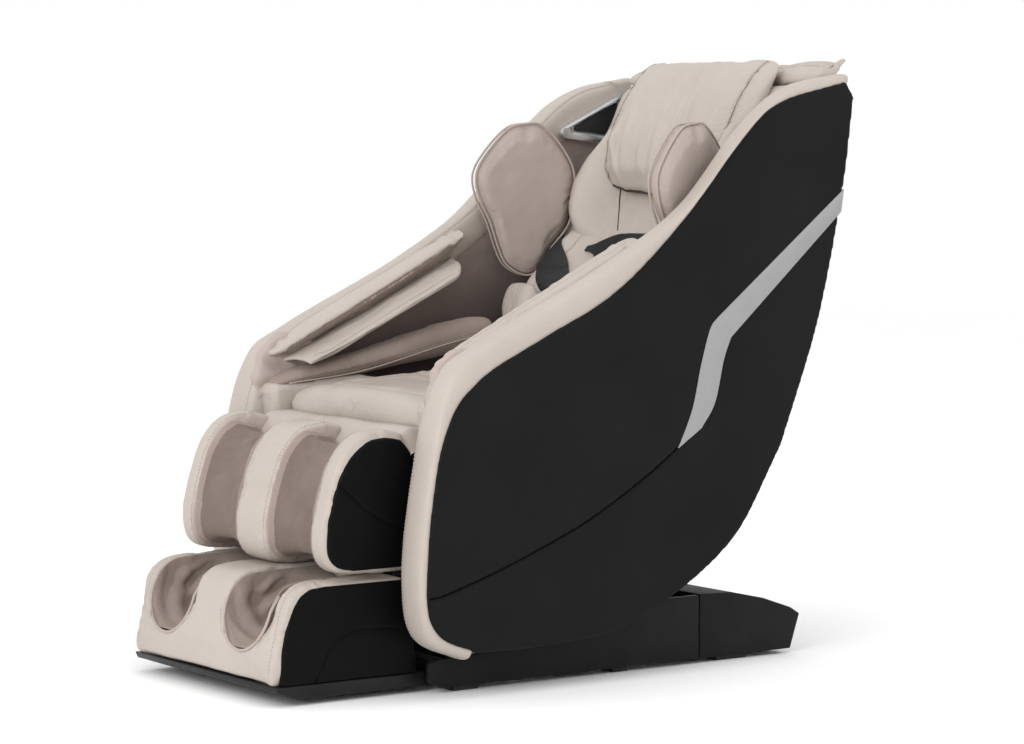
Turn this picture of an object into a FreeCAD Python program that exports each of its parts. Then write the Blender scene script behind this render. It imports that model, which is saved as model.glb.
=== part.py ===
import FreeCAD, Part
import math
import os

# Reclining massage chair: base, tilting seat shell, backrest with massage carriage, calf rest and foot box.
# Row frame in millimetres: +Z up from the floor, the sitter faces -Y, +X is the sitter's left-hand side.
# The origin is on the floor under the middle of the chair.

V = FreeCAD.Vector
X_AXIS = V(1, 0, 0)

# ---- driving dimensions -------------------------------------------------------------------
SHELL_HALF = 380.0        # outer face of the side panels
PANEL_T = 26.0            # side panel thickness
LINER_INNER = 302.0       # inner face of the padded arm rim
LINER_WALL = 330.0        # inner face of the side wall above and behind the rim
BODY_HALF = 296.0         # half width of everything between the two side walls
BASE_HALF = 297.0
SEAT_HALF = 240.0
CALF_HALF = 264.0
CALF_DIVIDER = 55.0       # half width of the middle calf pad
CALF_SIDE = 215.0         # inner face of the outer calf pads
FOOT_HALF = 264.0
WELL_X = 137.0            # centre of each foot well
WELL_R = 77.0
WELL_FLOOR = 92.0         # bottom of each foot well
FOOT_CLEAR = 12.0         # foot box above the floor

TILT_PIVOT = (60.0, 170.0)       # (Y, Z) of each hinge axis, all along X
BACK_PIVOT = (215.0, 430.0)
LEG_PIVOT = (-345.0, 470.0)
RUN_CLEAR = 0.05                 # radial clearance of a running fit

BACK_FOOT = (215.0, 500.0)       # where the back cushion's front face meets the seat
BACK_LEAN = math.radians(28.0)   # backrest from the vertical
PAD_T = 18.0                     # back cushion thickness over the massage rollers

TRACK_W = 96.0                   # massage track's plane behind the back's front face
TRACK_U = 330.0                  # where the carriage rests along it


# ---- small helpers ------------------------------------------------------------------------
def box(x0, x1, y0, y1, z0, z1):
    return Part.makeBox(x1 - x0, y1 - y0, z1 - z0, V(x0, y0, z0))


def rod_x(x0, x1, yz, r):
    """Cylinder along X from x0 to x1."""
    return Part.makeCylinder(r, x1 - x0, V(x0, yz[0], yz[1]), X_AXIS)


def rod(p, q, r):
    """Cylinder from point p to point q."""
    return Part.makeCylinder(r, (q - p).Length, p, q - p)


def bush_x(x0, x1, yz, r_out, r_in):
    return rod_x(x0, x1, yz, r_out).cut(rod_x(x0 - 1, x1 + 1, yz, r_in))


def mirror(shape):
    return shape.mirror(V(0, 0, 0), X_AXIS)


def fuse(shapes):
    out = shapes[0].multiFuse(shapes[1:]) if len(shapes) > 1 else shapes[0]
    return out.removeSplitter()


def slab(edges, x0, x1):
    """Solid between x0 and x1 with the closed outline edges, which lie in the plane X = 0."""
    face = Part.Face(Part.Wire(Part.__sortEdges__(edges)))
    face.translate(V(x0, 0, 0))
    return face.extrude(V(x1 - x0, 0, 0))


def spline(points):
    curve = Part.BSplineCurve()
    curve.interpolate([V(0, y, z) for y, z in points])
    return curve.toShape()


def line(p, q):
    return Part.makeLine(V(0, p[0], p[1]), V(0, q[0], q[1]))


def polygon(points, x0, x1):
    ends = points[1:] + points[:1]
    return slab([line(p, q) for p, q in zip(points, ends)], x0, x1)


def back(u, w):
    """(Y, Z) of a point u up the backrest and w behind its front face."""
    s, c = math.sin(BACK_LEAN), math.cos(BACK_LEAN)
    return (BACK_FOOT[0] + u * s + w * c, BACK_FOOT[1] + u * c - w * s)


def rounded(shape, radius, pick):
    """Shape with the edges that pick(edge) accepts rounded off."""
    edges = [e for e in shape.Edges if pick(e)]
    return shape.makeFillet(radius, edges) if edges else shape


def along_x(edge):
    a, b = edge.Vertexes[0].Point, edge.Vertexes[-1].Point
    return abs(abs(a.x - b.x) - (a - b).Length) < 1e-6 and (a - b).Length > 1


def at_x(x):
    return lambda e: all(abs(v.Point.x - x) < 1e-4 for v in e.Vertexes) and e.Length > 20


def save(name, *shapes):
    solids = [s for shape in shapes for s in shape.Solids]
    for s in solids:
        if not s.isValid() or s.Volume <= 0:
            raise SystemExit(f"{name}: bad solid")
    Part.makeCompound(solids).exportStep(os.path.join("parts", name + ".step"))


# ---- shared outlines of the side shell, as (Y, Z) -------------------------------------------
PANEL_FRONT = [(-290, 76), (-385, 118), (-409, 215), (-377, 461), (-300, 580), (-141, 657),
               (20, 728), (174, 852), (343, 1030), (430, 1090), (585, 1127)]
PANEL_REAR = [(606, 1098), (579, 917), (520, 668), (428, 425)]
PANEL_BELLY = [(428, 425), (300, 243), (82, 114), (-103, 84), (-290, 76)]
LINER_FRONT = [(-300, 66), (-388, 110), (-411, 215), (-391, 400), (-343, 584), (-246, 653),
               (3, 771), (197, 886), (340, 1035), (454, 1115), (600, 1145)]
LINER_REAR = [(600, 1145), (594, 1098), (567, 917), (508, 668), (416, 430)]
LINER_BELLY = [(416, 430), (290, 252), (82, 124), (-103, 94), (-300, 66)]


# the liner is only this side wall thick inside this outline; round it stands the thick rim
RIM_POCKET = [(-322, 96), (-345, 215), (-325, 400), (-283, 540), (-210, 602), (130, 770), (140, 1250),
              (700, 1250), (700, 60), (-322, 60)]


def panel_outline():
    return [spline(PANEL_FRONT), line(PANEL_FRONT[-1], PANEL_REAR[0]), spline(PANEL_REAR), spline(PANEL_BELLY)]


def side_panel():
    """Black outer panel, its outer rim rolled over."""
    x0, x1 = SHELL_HALF - PANEL_T, SHELL_HALF
    return rounded(slab(panel_outline(), x0, x1), 11.0, at_x(x1))


STRIP_FRONT = [(173, 433), (207, 507), (227, 588), (249, 657), (268, 679)]
STRIP_TOP = [(268, 679), (580, 919)]
STRIP_REAR = [(300, 640), (282, 597), (261, 516), (228, 468)]
STRIP_END = (573, 875)      # lower corner of the strip's rear end


def trim_strip():
    """Bent silver strip let into the panel, standing 1 mm proud."""
    edges = [spline(STRIP_FRONT), line(*STRIP_TOP), line(STRIP_TOP[1], STRIP_END)]
    edges += [line(STRIP_END, STRIP_REAR[0]), spline(STRIP_REAR), line(STRIP_REAR[-1], STRIP_FRONT[0])]
    return slab(edges, SHELL_HALF - 4, SHELL_HALF + 1)


def arm_liner():
    """Padded inner side of the shell: a wall, a thick rim round it, and the shelf beside the seat."""
    outline = [spline(LINER_FRONT), spline(LINER_REAR), spline(LINER_BELLY)]
    wall = slab(outline, LINER_INNER, SHELL_HALF - PANEL_T)
    wall = wall.cut(polygon(RIM_POCKET, LINER_INNER - 1, LINER_WALL))
    shelf = box(SEAT_HALF + 16, LINER_WALL + 2, -326, -240, 452, 538)
    shelf = rounded(shelf, 10.0, lambda e: e.BoundBox.ZMin > 530)
    return fuse([wall, shelf])


def arm_bolster():
    """Upper forearm pad under the arm's top rim."""
    outline = [(-318, 612), (-150, 690), (60, 786), (118, 832), (128, 812), (97, 786), (-74, 708), (-291, 603)]
    return polygon(outline, 262, LINER_INNER - 1)


def arm_flap():
    """Lower half of the upper forearm airbag, hanging below the bolster."""
    outline = [(-322, 596), (-290, 601), (-76, 702), (96, 780), (106, 750), (95, 731), (-56, 654), (-229, 577)]
    return polygon(outline, 236, LINER_INNER - 2)


def armrest_pad():
    """Forearm floor pad."""
    outline = [(-306, 541), (-134, 574), (157, 640), (192, 616), (151, 598), (-195, 548)]
    return polygon(outline, 250, LINER_WALL - 2).cut(box(240, 400, -400, -239, 400, 548))


SPEAKER = [(392, 1024), (572, 1108), (560, 1010)]


def speaker_triangle(scale):
    """The speaker's triangle drawn smaller about its middle."""
    cy = sum(y for y, z in SPEAKER) / 3
    cz = sum(z for y, z in SPEAKER) / 3
    return [(cy + (y - cy) * scale, cz + (z - cz) * scale) for y, z in SPEAKER]


def speaker_bezel():
    return polygon(speaker_triangle(1.0), 318, LINER_WALL).cut(polygon(speaker_triangle(0.70), 310, 340))


def speaker_grille():
    return polygon(speaker_triangle(0.69), 321, LINER_WALL)


# ---- base -----------------------------------------------------------------------------------
SKIRT_TOP = [(-322, 64), (-200, 70), (-66, 88), (90, 108), (205, 134)]


def base_skirt():
    """Side cover of the floor frame, one side."""
    corners = [(205, 134), (290, 134), (290, 10), (-312, 10), (-340, 24), (-338, 58), (-322, 64)]
    edges = [spline(SKIRT_TOP)] + [line(a, b) for a, b in zip(corners, corners[1:])]
    return slab(edges, BASE_HALF - 12, BASE_HALF)


def base_rear_cover():
    """Moulded rear housing over the electronics, open underneath and in front."""
    outer = [(292, 10), (292, 136), (370, 134), (450, 116), (520, 92), (543, 78), (520, 10)]
    inner = [(280, 4), (280, 130), (368, 128), (447, 110), (516, 87), (533, 76), (514, 4)]
    shell = polygon(outer, -BASE_HALF, BASE_HALF).cut(polygon(inner, -BASE_HALF + 6, BASE_HALF - 6))
    shell = shell.cut(box(-35, 35, 500, 560, 19, 63))
    return shell.cut(box(60, 92, 500, 560, 28, 50))


def base_frame():
    """Welded frame of 40 x 30 mm tube with the tilt towers and the actuator lug."""
    rails = [box(s * 262 - 20, s * 262 + 20, -300, 500, 14, 54) for s in (-1, 1)]
    crosses = [box(-245, 245, y - 15, y + 15, 14, 54) for y in (-280, -190, 60, 400)]
    towers = []
    for s in (-1, 1):
        cheek = polygon([(10, 54), (35, 190), (85, 190), (120, 54)], s * 268 - 5, s * 268 + 5)
        towers.append(cheek.cut(rod_x(s * 268 - 6, s * 268 + 6, TILT_PIVOT, 8 + RUN_CLEAR)))
    lugs = lug_pair(TILT_DRIVE, "a", (-190, 50))
    return fuse(rails + crosses + towers + lugs)


def lug_pair(drive, end, foot, with_pin=True):
    """Two plates reaching from the point foot to an actuator's pin a or b, and the pin itself."""
    x, pin = drive["x"], drive[end]
    dy, dz = pin[0] - foot[0], pin[1] - foot[1]
    length = math.hypot(dy, dz)
    ny, nz = -dz / length * LUG_R, dy / length * LUG_R
    strip = [(foot[0] - ny, foot[1] - nz), (pin[0] - ny, pin[1] - nz), (pin[0] + ny, pin[1] + nz),
             (foot[0] + ny, foot[1] + nz)]
    plates = []
    for s in (-1, 1):
        xa = x + s * 19 - 3
        plates.append(rod_x(xa, xa + 6, pin, LUG_R).fuse(polygon(strip, xa, xa + 6)))
    return plates + ([rod_x(x - 24, x + 24, pin, DRIVE_PIN_R)] if with_pin else [])


def base_feet():
    spots = [(-249, 27), (108, 17), (380, 37)]
    feet = []
    for y, half in spots:
        for s in (-1, 1):
            feet.append(box(s * 262 - 22, s * 262 + 22, y - half, y + half, 0, 14))
    return feet


# ---- seat frame -------------------------------------------------------------------------------
def seat_side_plate(s):
    """Side plate of the seat carrier with a weight-saving window, turning on the tilt pin."""
    x0, x1 = (s * 250 - 4, s * 250 + 4)
    plate = polygon([(20, 140), (-325, 412), (-325, 456), (240, 466), (240, 400), (110, 140)], x0, x1)
    window = polygon([(20, 215), (-190, 385), (-190, 420), (150, 425), (150, 380), (70, 215)], x0 - 1, x1 + 1)
    plate = plate.cut(window).cut(rod_x(x0 - 1, x1 + 1, TILT_PIVOT, 8 + RUN_CLEAR))
    return plate.cut(rod_x(x0 - 1, x1 + 1, BACK_PIVOT, 8 + RUN_CLEAR))


def seat_crossmembers():
    """Cross tubes with leg hinge arms and drive lugs, the seat board, and brackets out to the side walls."""
    front = [box(-246, 246, -318, -294, 434, 458)]
    for s in (-1, 1):
        arm = polygon([(-326, 440), (-326, 462), (-345, 482), (-358, 476), (-358, 464), (-345, 456)],
                      s * 232 - 4, s * 232 + 4).cut(rod_x(s * 232 - 5, s * 232 + 5, LEG_PIVOT, 6 + RUN_CLEAR))
        front += [arm, box(*sorted((s * 228, s * 246)), -326, -304, 432, 462)]
    tilt_tube = [box(-246, 246, -252, -228, 434, 458)] + lug_pair(TILT_DRIVE, "b", (-240, 440))
    low_tube = [box(-246, 246, 20, 44, 225, 249)]
    low_tube += lug_pair(LEG_DRIVE, "a", (32, 238)) + lug_pair(BACK_DRIVE, "a", (32, 238))
    members = [fuse(front), fuse(tilt_tube), fuse(low_tube)]
    members += [box(-246, 246, y - 12, y + 12, 434, 458) for y in (-60, 190)]
    members.append(box(-SEAT_HALF - 2, SEAT_HALF + 2, -300, 205, 458, 470).cut(members[0]).cut(members[1]))
    for s in (-1, 1):
        for y in (-160, 160):
            members.append(box(*sorted((s * 254, s * LINER_WALL)), y - 20, y + 20, 425, 453))
    return members


def hinge_pins():
    """Six shouldered pins: two for the tilt, two for the backrest, two for the calf rest."""
    pins = []
    for s in (-1, 1):
        for yz, r, x0, x1 in ((TILT_PIVOT, 8, 244, 279), (BACK_PIVOT, 8, 244, 283), (LEG_PIVOT, 6, 214, 246)):
            a, b = sorted((s * x0, s * x1))
            head = sorted((s * (x0 - 4), s * x0))
            pins.append(rod_x(a, b, yz, r).fuse(rod_x(head[0], head[1], yz, r + 4)))
    return pins


def seat_cushion():
    """Seat pad with its front bolster."""
    edges = [spline([(-308, 480), (-316, 500), (-306, 524), (-276, 535)]), line((-276, 535), (150, 508)),
             line((150, 508), (200, 500)), line((200, 500), (196, 472)), line((196, 472), (-300, 472)),
             line((-300, 472), (-308, 480))]
    return slab(edges, -SEAT_HALF, SEAT_HALF)


def belly_cover():
    """Curved cover under the rear of the seat shell, between the side panels."""
    cy, cz, r, t = -57, 581, 455, 8
    a0, a1 = math.radians(-62), math.radians(-37)

    def at(radius, a):
        return V(0, cy + radius * math.cos(a), cz + radius * math.sin(a))

    mid = (a0 + a1) / 2
    outer = Part.Arc(at(r, a0), at(r, mid), at(r, a1)).toShape()
    inner = Part.Arc(at(r - t, a0), at(r - t, mid), at(r - t, a1)).toShape()
    ends = [Part.makeLine(at(r, a0), at(r - t, a0)), Part.makeLine(at(r, a1), at(r - t, a1))]
    return slab([outer, inner] + ends, -BODY_HALF - 30, BODY_HALF + 30)


# ---- backrest -----------------------------------------------------------------------------------
def back_profile(pairs):
    return [back(u, w) for u, w in pairs]


def back_frame():
    """Ladder frame of the backrest with its hinge cheeks and the drive lug."""
    parts = []
    for s in (-1, 1):
        x0, x1 = s * 268 - 12, s * 268 + 12
        parts.append(polygon(back_profile([(20, 46), (20, 70), (630, 70), (630, 46)]), x0, x1))
        rail_end = back_profile([(24, 50), (90, 50), (90, 70), (20, 70)])
        cheek = polygon([(195, 410), (195, 446), (262, 480)] + rail_end + [(240, 410)], s * 268 - 4, s * 268 + 4)
        parts.append(cheek.cut(rod_x(s * 268 - 5, s * 268 + 5, BACK_PIVOT, 8 + RUN_CLEAR)))
    for u in (32, 618):
        rung = back_profile([(u - 12, 46), (u - 12, 70), (u + 12, 70), (u + 12, 46)])
        parts.append(polygon(rung, -260, 260))
    parts += lug_pair(BACK_DRIVE, "b", back(32, 58))
    return fuse(parts)


RAIL_U = (40.0, 520.0)       # the guide rails' two ends


def track_bar(u0, u1, w0, w1, x0, x1):
    return polygon(back_profile([(u0, w0), (u0, w1), (u1, w1), (u1, w0)]), x0, x1)


def guide_rails():
    """Two channel rails in which the carriage's wheels run, each with two feet on the ladder frame."""
    rails = []
    for s in (-1, 1):
        web = track_bar(*RAIL_U, TRACK_W - 16, TRACK_W + 16, *sorted((s * 186, s * 190)))
        lips = [track_bar(*RAIL_U, w, w + 4, *sorted((s * 170, s * 190))) for w in (TRACK_W - 16, TRACK_W + 12)]
        feet = [track_bar(u - 12, u + 12, 60, TRACK_W - 4, *sorted((s * 190, s * 256))) for u in (90, 490)]
        rails.append(fuse([web] + lips + feet))
    return rails


BACK_REAR = [(30, 170), (120, 196), (235, 196), (367, 172), (539, 124), (640, 90), (706, 62)]


def back_shell():
    """Moulded rear cover of the backrest: an open tray that closes the back and the sides."""
    rear = [back(u, w - 6) for u, w in BACK_REAR]
    inner = [back(u, w - 14) for u, w in BACK_REAR]
    outer = slab([spline(rear), line(rear[-1], back(712, 20)), line(back(712, 20), back(30, 20)),
                  line(back(30, 20), rear[0])], -BODY_HALF, BODY_HALF)
    cavity = slab([spline(inner), line(inner[-1], back(700, 20)), line(back(700, 20), back(700, 0)),
                   line(back(700, 0), back(0, 0)), line(back(0, 0), back(0, 150)),
                   line(back(0, 150), inner[0])], -BODY_HALF + 8, BODY_HALF - 8)
    return outer.cut(cavity)


LOWER_WING = [(40, 0), (30, -30), (80, -66), (122, -79), (154, -99), (197, -96), (197, 0)]
UPPER_WING = [(197, 0), (197, -90), (263, -72), (330, -50), (400, -18), (430, 0)]


def back_cushion():
    """Padded front of the backrest: a flat middle over the rollers and two wings that come forward."""
    pad = polygon(back_profile([(10, 0), (10, PAD_T), (712, PAD_T), (712, 0)]), -BODY_HALF + 2, BODY_HALF - 2)
    wings = []
    for s in (-1, 1):
        wings.append(polygon(back_profile(LOWER_WING), *sorted((s * 160, s * 258))))
        wings.append(polygon(back_profile(UPPER_WING), *sorted((s * 120, s * 222))))
    return [pad] + wings


def waist_panels():
    """Black stretch panel over the lumbar rollers and a black strap on each wing."""
    panel = polygon(back_profile([(30, -6), (30, -0.5), (350, -0.5), (350, -6)]), -118, 118)
    strap = back_profile([(205, -96), (205, -88.4), (259, -73.7), (259, -79)])
    straps = [polygon(strap, *sorted((s * 160, s * 226))) for s in (-1, 1)]
    return [panel] + straps


FLAP = [(560, 1132), (572, 1158), (604, 1162), (633, 1180), (653, 1159), (622, 1132), (610, 1112), (580, 1122)]


def top_flap():
    """Leather flap over the top edge of the backrest, its two rear corners lifting off."""
    return polygon(FLAP, -290, 290).cut(back_shell()).cut(back_cushion()[0])


PILLOW = [(437, -14), (437, -46), (495, -66), (540, -75), (620, -74), (694, -61), (745, -36), (763, -10),
          (745, -8), (706, -3), (480, -3)]


PILLOW_PLAN = [(-222, 0), (222, 0), (222, -34), (130, -80), (-130, -80), (-222, -34)]


def head_pillow():
    """Head pillow hanging in front of the top of the backrest, thinner towards its two sides."""
    ring = [V(x, *back(430, w)) for x, w in PILLOW_PLAN]
    plan = Part.Face(Part.makePolygon(ring + ring[:1])).extrude(V(0, *back(770, 0)) - V(0, *back(430, 0)))
    return polygon(back_profile(PILLOW), -222, 222).common(plan)


SHOULDER_FLARE = 13.0                # degrees outward at the front
SHOULDER_HINGE = (252.0, 384.0)      # X and Y of the pad's upright hinge line
SHOULDER_REAR = 217                  # Y of the outline's rear edge, which lies on the hinge line
SHOULDER_T = 36


def shoulder_pad():
    """Shoulder airbag pad, standing in the side plane and flaring outward at the front."""
    outline = [(112, 1045), (73, 1036), (29, 993), (0, 945), (6, 896), (29, 848), (48, 793), (67, 757), (105, 736),
               (137, 745), (163, 787), (208, 848), (217, 939), (188, 999), (144, 1042)]
    ring = [V(0, y - SHOULDER_REAR, z) for y, z in outline]
    curve = Part.BSplineCurve()
    curve.interpolate(ring, PeriodicFlag=True)
    face = Part.Face(Part.Wire(curve.toShape()))
    pad = face.extrude(V(SHOULDER_T, 0, 0))
    pad.translate(V(-SHOULDER_T / 2, 0, 0))
    pad.rotate(V(0, 0, 0), V(0, 0, 1), SHOULDER_FLARE)
    pad.translate(V(SHOULDER_HINGE[0], SHOULDER_HINGE[1], 0))
    return pad


def shoulder_bracket():
    """Hinge block behind each shoulder pad, on the cushion's side wing."""
    x, y = SHOULDER_HINGE
    return box(x - 14, x + 14, y + 16, y + 32, 882, 902)


# ---- massage carriage ------------------------------------------------------------------------
ARM_W = TRACK_W - 24         # arm shaft
AXLE_W = TRACK_W - 36        # roller axles
WHEEL_U = (-52.0, 52.0)      # wheel axles, along the track from the carriage's middle
WHEEL_R = 11.0


def arm_shaft():
    return rod_x(-150, 150, back(TRACK_U, ARM_W), 8)


def carriage_frame():
    """Two side plates tied by two bars; the shaft in front carries the massage arms."""
    plates = []
    for s in (-1, 1):
        plate = track_bar(TRACK_U - 70, TRACK_U + 70, TRACK_W - 34, TRACK_W + 18, *sorted((s * 140, s * 148)))
        for u in WHEEL_U:
            plate = plate.cut(rod_x(s * 144 - 6, s * 144 + 6, back(TRACK_U + u, TRACK_W), 4 + RUN_CLEAR))
        plates.append(plate)
    ties = []
    for u in (TRACK_U - 58, TRACK_U + 58):
        ties.append(track_bar(u - 7, u + 7, TRACK_W + 6, TRACK_W + 18, -142, 142))
    return fuse(plates + [arm_shaft()] + ties)


def knead_motor():
    """Gear motor behind the arm shaft, its gearbox beside it."""
    mid = TRACK_W + 5.5
    y, z = back(TRACK_U, mid)
    can = rod(V(-10, y, z), V(92, y, z), 20)
    return fuse([can, track_bar(TRACK_U - 46, TRACK_U + 46, mid - 14, mid + 12, -52, -10)])


def carriage_wheels(u):
    """Cross axle with the two wheels that run in the guide rails."""
    yz = back(TRACK_U + u, TRACK_W)
    wheels = [rod_x(*sorted((s * 172, s * 182)), yz, WHEEL_R) for s in (-1, 1)]
    return fuse([rod_x(-184, 184, yz, 4)] + wheels)


ROLLER_X = (62.0, 90.0)
ROLLER_R = 27.0
ROLLER_U = 88.0


def massage_arm(s):
    """Rocking arm with an upper and a lower roller axle."""
    a, b = sorted((s * 94, s * 106))
    hub = back(TRACK_U, ARM_W)
    u0, u1, w0 = ROLLER_U + 10, 20, AXLE_W
    spine = polygon(back_profile([(TRACK_U - u0, w0 - 8), (TRACK_U - u0, w0 + 8), (TRACK_U - u1, w0 + 22),
                                  (TRACK_U + u1, w0 + 22), (TRACK_U + u0, w0 + 8), (TRACK_U + u0, w0 - 8),
                                  (TRACK_U + u1, w0 - 2), (TRACK_U - u1, w0 - 2)]), a, b)
    arm = fuse([spine, rod_x(a, b, hub, 16)]).cut(rod_x(a - 1, b + 1, hub, 8 + RUN_CLEAR))
    axles = [rod_x(*sorted((s * 56, s * 100)), back(TRACK_U + u, AXLE_W), 4) for u in (-ROLLER_U, ROLLER_U)]
    return fuse([arm] + axles)


def massage_roller(s, u):
    x0, x1 = sorted((s * ROLLER_X[0], s * ROLLER_X[1]))
    yz = back(TRACK_U + u, AXLE_W)
    roller = rounded(rod_x(x0, x1, yz, ROLLER_R), 7.0, lambda e: e.Length > 100)
    return roller.cut(rod_x(x0 - 1, x1 + 1, yz, 4 + RUN_CLEAR))


# ---- calf rest and foot box --------------------------------------------------------------------
CALF_FRONT = [(-410, 492), (-467, 480), (-512, 430), (-541, 344), (-546, 275), (-525, 238), (-480, 226)]


def calf_pad(x0, x1):
    """One of the three light pads between which the calves lie."""
    edges = [spline(CALF_FRONT), line((-480, 226), (-345, 226)), line((-345, 226), (-345, 440)),
             line((-345, 440), (-372, 484)), line((-372, 484), (-410, 492))]
    return slab(edges, x0, x1)


def calf_liner(s):
    """Fabric trough between two calf pads."""
    outer = [(-404, 478), (-452, 461), (-490, 414), (-514, 340), (-519, 282), (-500, 230)]
    inner = [(-404, 464), (-446, 449), (-478, 407), (-501, 338), (-506, 282), (-488, 230)]
    edges = [spline(outer), line(outer[-1], inner[-1]), spline(inner), line(inner[0], outer[0])]
    return slab(edges, *sorted((s * (CALF_DIVIDER + 0.5), s * (CALF_SIDE - 0.5))))


def calf_frame():
    """Steel back plate of the calf rest, with hinge ears, slide tubes and the drive lug."""
    x = LEG_DRIVE["x"]
    parts = [box(-236, 236, -344, -338, 250, 436).cut(box(x - 15, x + 15, -350, -330, 405, 440))]
    for s in (-1, 1):
        ear = polygon([(-338, 420), (-338, 436), (-352, 482), (-338, 480), (-330, 466), (-330, 420)],
                      s * 221 - 4, s * 221 + 4)
        parts.append(ear.cut(rod_x(s * 221 - 5, s * 221 + 5, LEG_PIVOT, 6 + RUN_CLEAR)))
        tube = Part.makeCylinder(13, 160, V(s * 140, -322, 240)).cut(
            Part.makeCylinder(8 + RUN_CLEAR, 170, V(s * 140, -322, 235)))
        parts += [tube, box(s * 140 - 10, s * 140 + 10, -340, -333, 250, 395)]
    parts += lug_pair(LEG_DRIVE, "b", (-341, 385))
    return fuse(parts)


def calf_side_panel():
    front = [(-410, 476), (-456, 466), (-500, 420), (-529, 340), (-534, 276), (-516, 246), (-480, 236)]
    edges = [spline(front), line((-480, 236), (-350, 236)), line((-350, 236), (-350, 440)),
             line((-350, 440), (-376, 470)), line((-376, 470), (-410, 476))]
    return slab(edges, 256, CALF_HALF)


FOOT_FRONT = [(-648, 38), (-653, 50), (-646, 100), (-624, 180), (-590, 214), (-540, 222)]


def foot_cushion():
    """Upholstered block of the foot box with two open wells."""
    edges = [spline(FOOT_FRONT), line((-540, 222), (-364, 222)), line((-364, 222), (-334, 38)),
             line((-334, 38), (-648, 38))]
    block = slab(edges, -255, 255)
    for s in (-1, 1):
        trough = Part.makeCylinder(WELL_R, 250, V(s * WELL_X, -660, WELL_FLOOR + WELL_R), V(0, 1, 0)).fuse(
            box(s * WELL_X - WELL_R, s * WELL_X + WELL_R, -660, -410, WELL_FLOOR + WELL_R, 260))
        block = block.cut(trough)
        block = block.cut(box(s * WELL_X - 62, s * WELL_X + 62, -600, -430, 60, 130))
    return block.cut(box(-235, 235, -604, -430, 36, 78))


def foot_liner(s):
    """Fabric trough lining one foot well."""
    outer = Part.makeCylinder(WELL_R - 1, 236, V(s * WELL_X, -647, WELL_FLOOR + WELL_R), V(0, 1, 0))
    inner = Part.makeCylinder(WELL_R - 7, 232, V(s * WELL_X, -650, WELL_FLOOR + WELL_R), V(0, 1, 0))
    upper = box(s * WELL_X - 90, s * WELL_X + 90, -660, -400, WELL_FLOOR + WELL_R + 34, 300)
    front = [(-660, 110), (-641, 110), (-622, 190), (-600, 260), (-660, 260)]
    slant = polygon(front, s * WELL_X - 90, s * WELL_X + 90)
    return outer.cut(inner).cut(upper).cut(slant)


def foot_side_panel():
    front = [(-636, 38), (-628, 110), (-608, 180), (-580, 207), (-540, 212)]
    edges = [spline(front), line((-540, 212), (-368, 212)), line((-368, 212), (-340, 38)),
             line((-340, 38), (-636, 38))]
    return slab(edges, 255.5, FOOT_HALF)


def foot_tray():
    """Black moulded tray under the foot box."""
    outline = [(-645, 37.5), (-640, 26), (-600, FOOT_CLEAR), (-345, FOOT_CLEAR), (-322, 20), (-326, 37.5)]
    tray = polygon(outline, -262, 262).cut(box(-236, 236, -610, -350, 20, 40))
    for s in (-1, 1):
        tray = tray.cut(box(s * 140 - 18, s * 140 + 18, -354, -300, 20, 40))
    return tray


def foot_frame():
    """Carrier of the foot box: a floor plate with bearing cheeks, and two rods for the calf rest's tubes."""
    parts = [box(-230, 230, -428, -351, 22, 28)]
    for s in (-1, 1):
        parts.append(Part.makeCylinder(8, 388, V(s * 140, -322, 22)))
        parts.append(box(s * 140 - 14, s * 140 + 14, -352, -312, 22, 36))
        side = box(s * 228 - 3, s * 228 + 3, -590, -432, 22, 74)
        side = side.fuse(box(s * 228 - 3, s * 228 + 3, -434, -351, 22, 34))
        for y in FOOT_ROLLER_Y:
            side = side.cut(rod_x(s * 228 - 4, s * 228 + 4, (y, FOOT_ROLLER_Z), 5 + RUN_CLEAR))
        parts.append(side)
    return fuse(parts)


FOOT_ROLLER_Y = (-560.0, -478.0)
FOOT_ROLLER_Z = 54.0


def foot_roller(y):
    """Sole massage shaft with two ribbed rollers."""
    shaft = rod_x(-234, 234, (y, FOOT_ROLLER_Z), 5)
    rollers = []
    for s in (-1, 1):
        for k in range(-2, 3):
            x = s * WELL_X + k * 22
            rollers.append(rod_x(x - 8, x + 8, (y, FOOT_ROLLER_Z), 21 if k % 2 else 17))
        rollers.append(rod_x(s * WELL_X - 54, s * WELL_X + 54, (y, FOOT_ROLLER_Z), 11))
    return fuse([shaft] + rollers)


# ---- linear actuators -----------------------------------------------------------------------------
# a is the fixed pin and b the driven one, as (Y, Z); x is the actuator's plane; tube is the barrel's length.
TILT_DRIVE = {"x": -90.0, "a": (-190.0, 85.0), "b": (-205.0, 300.0), "tube": 150.0,
              "tail": 44.0, "eye_clear": 4.0}
LEG_DRIVE = {"x": 80.0, "a": (-40.0, 250.0), "b": (-340.0, 435.0), "tube": 250.0,
             "tail": 44.0, "eye_clear": 6.5}
BACK_DRIVE = {"x": 0.0, "a": (120.0, 262.0), "b": (322.0, 486.0), "tube": 175.0,
              "tail": 84.0, "eye_clear": 4.0}
# tail: where the rod's inner end rests along the barrel; the backrest's rod is drawn in from there.
# eye_clear: the driven end's eye is bored this much over its pin's radius.
DRIVE_PIN_R = 5.0
LUG_R = 13.0


def drive_frame(d):
    a, b = d["a"], d["b"]
    length = math.hypot(b[0] - a[0], b[1] - a[1])
    return a, ((b[0] - a[0]) / length, (b[1] - a[1]) / length), length


def drive_point(d, s, t=0.0):
    """Point s along the actuator from pin a, and t to its side, as a vector."""
    a, (dy, dz), _ = drive_frame(d)
    return V(d["x"], a[0] + s * dy - t * dz, a[1] + s * dz + t * dy)


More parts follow.
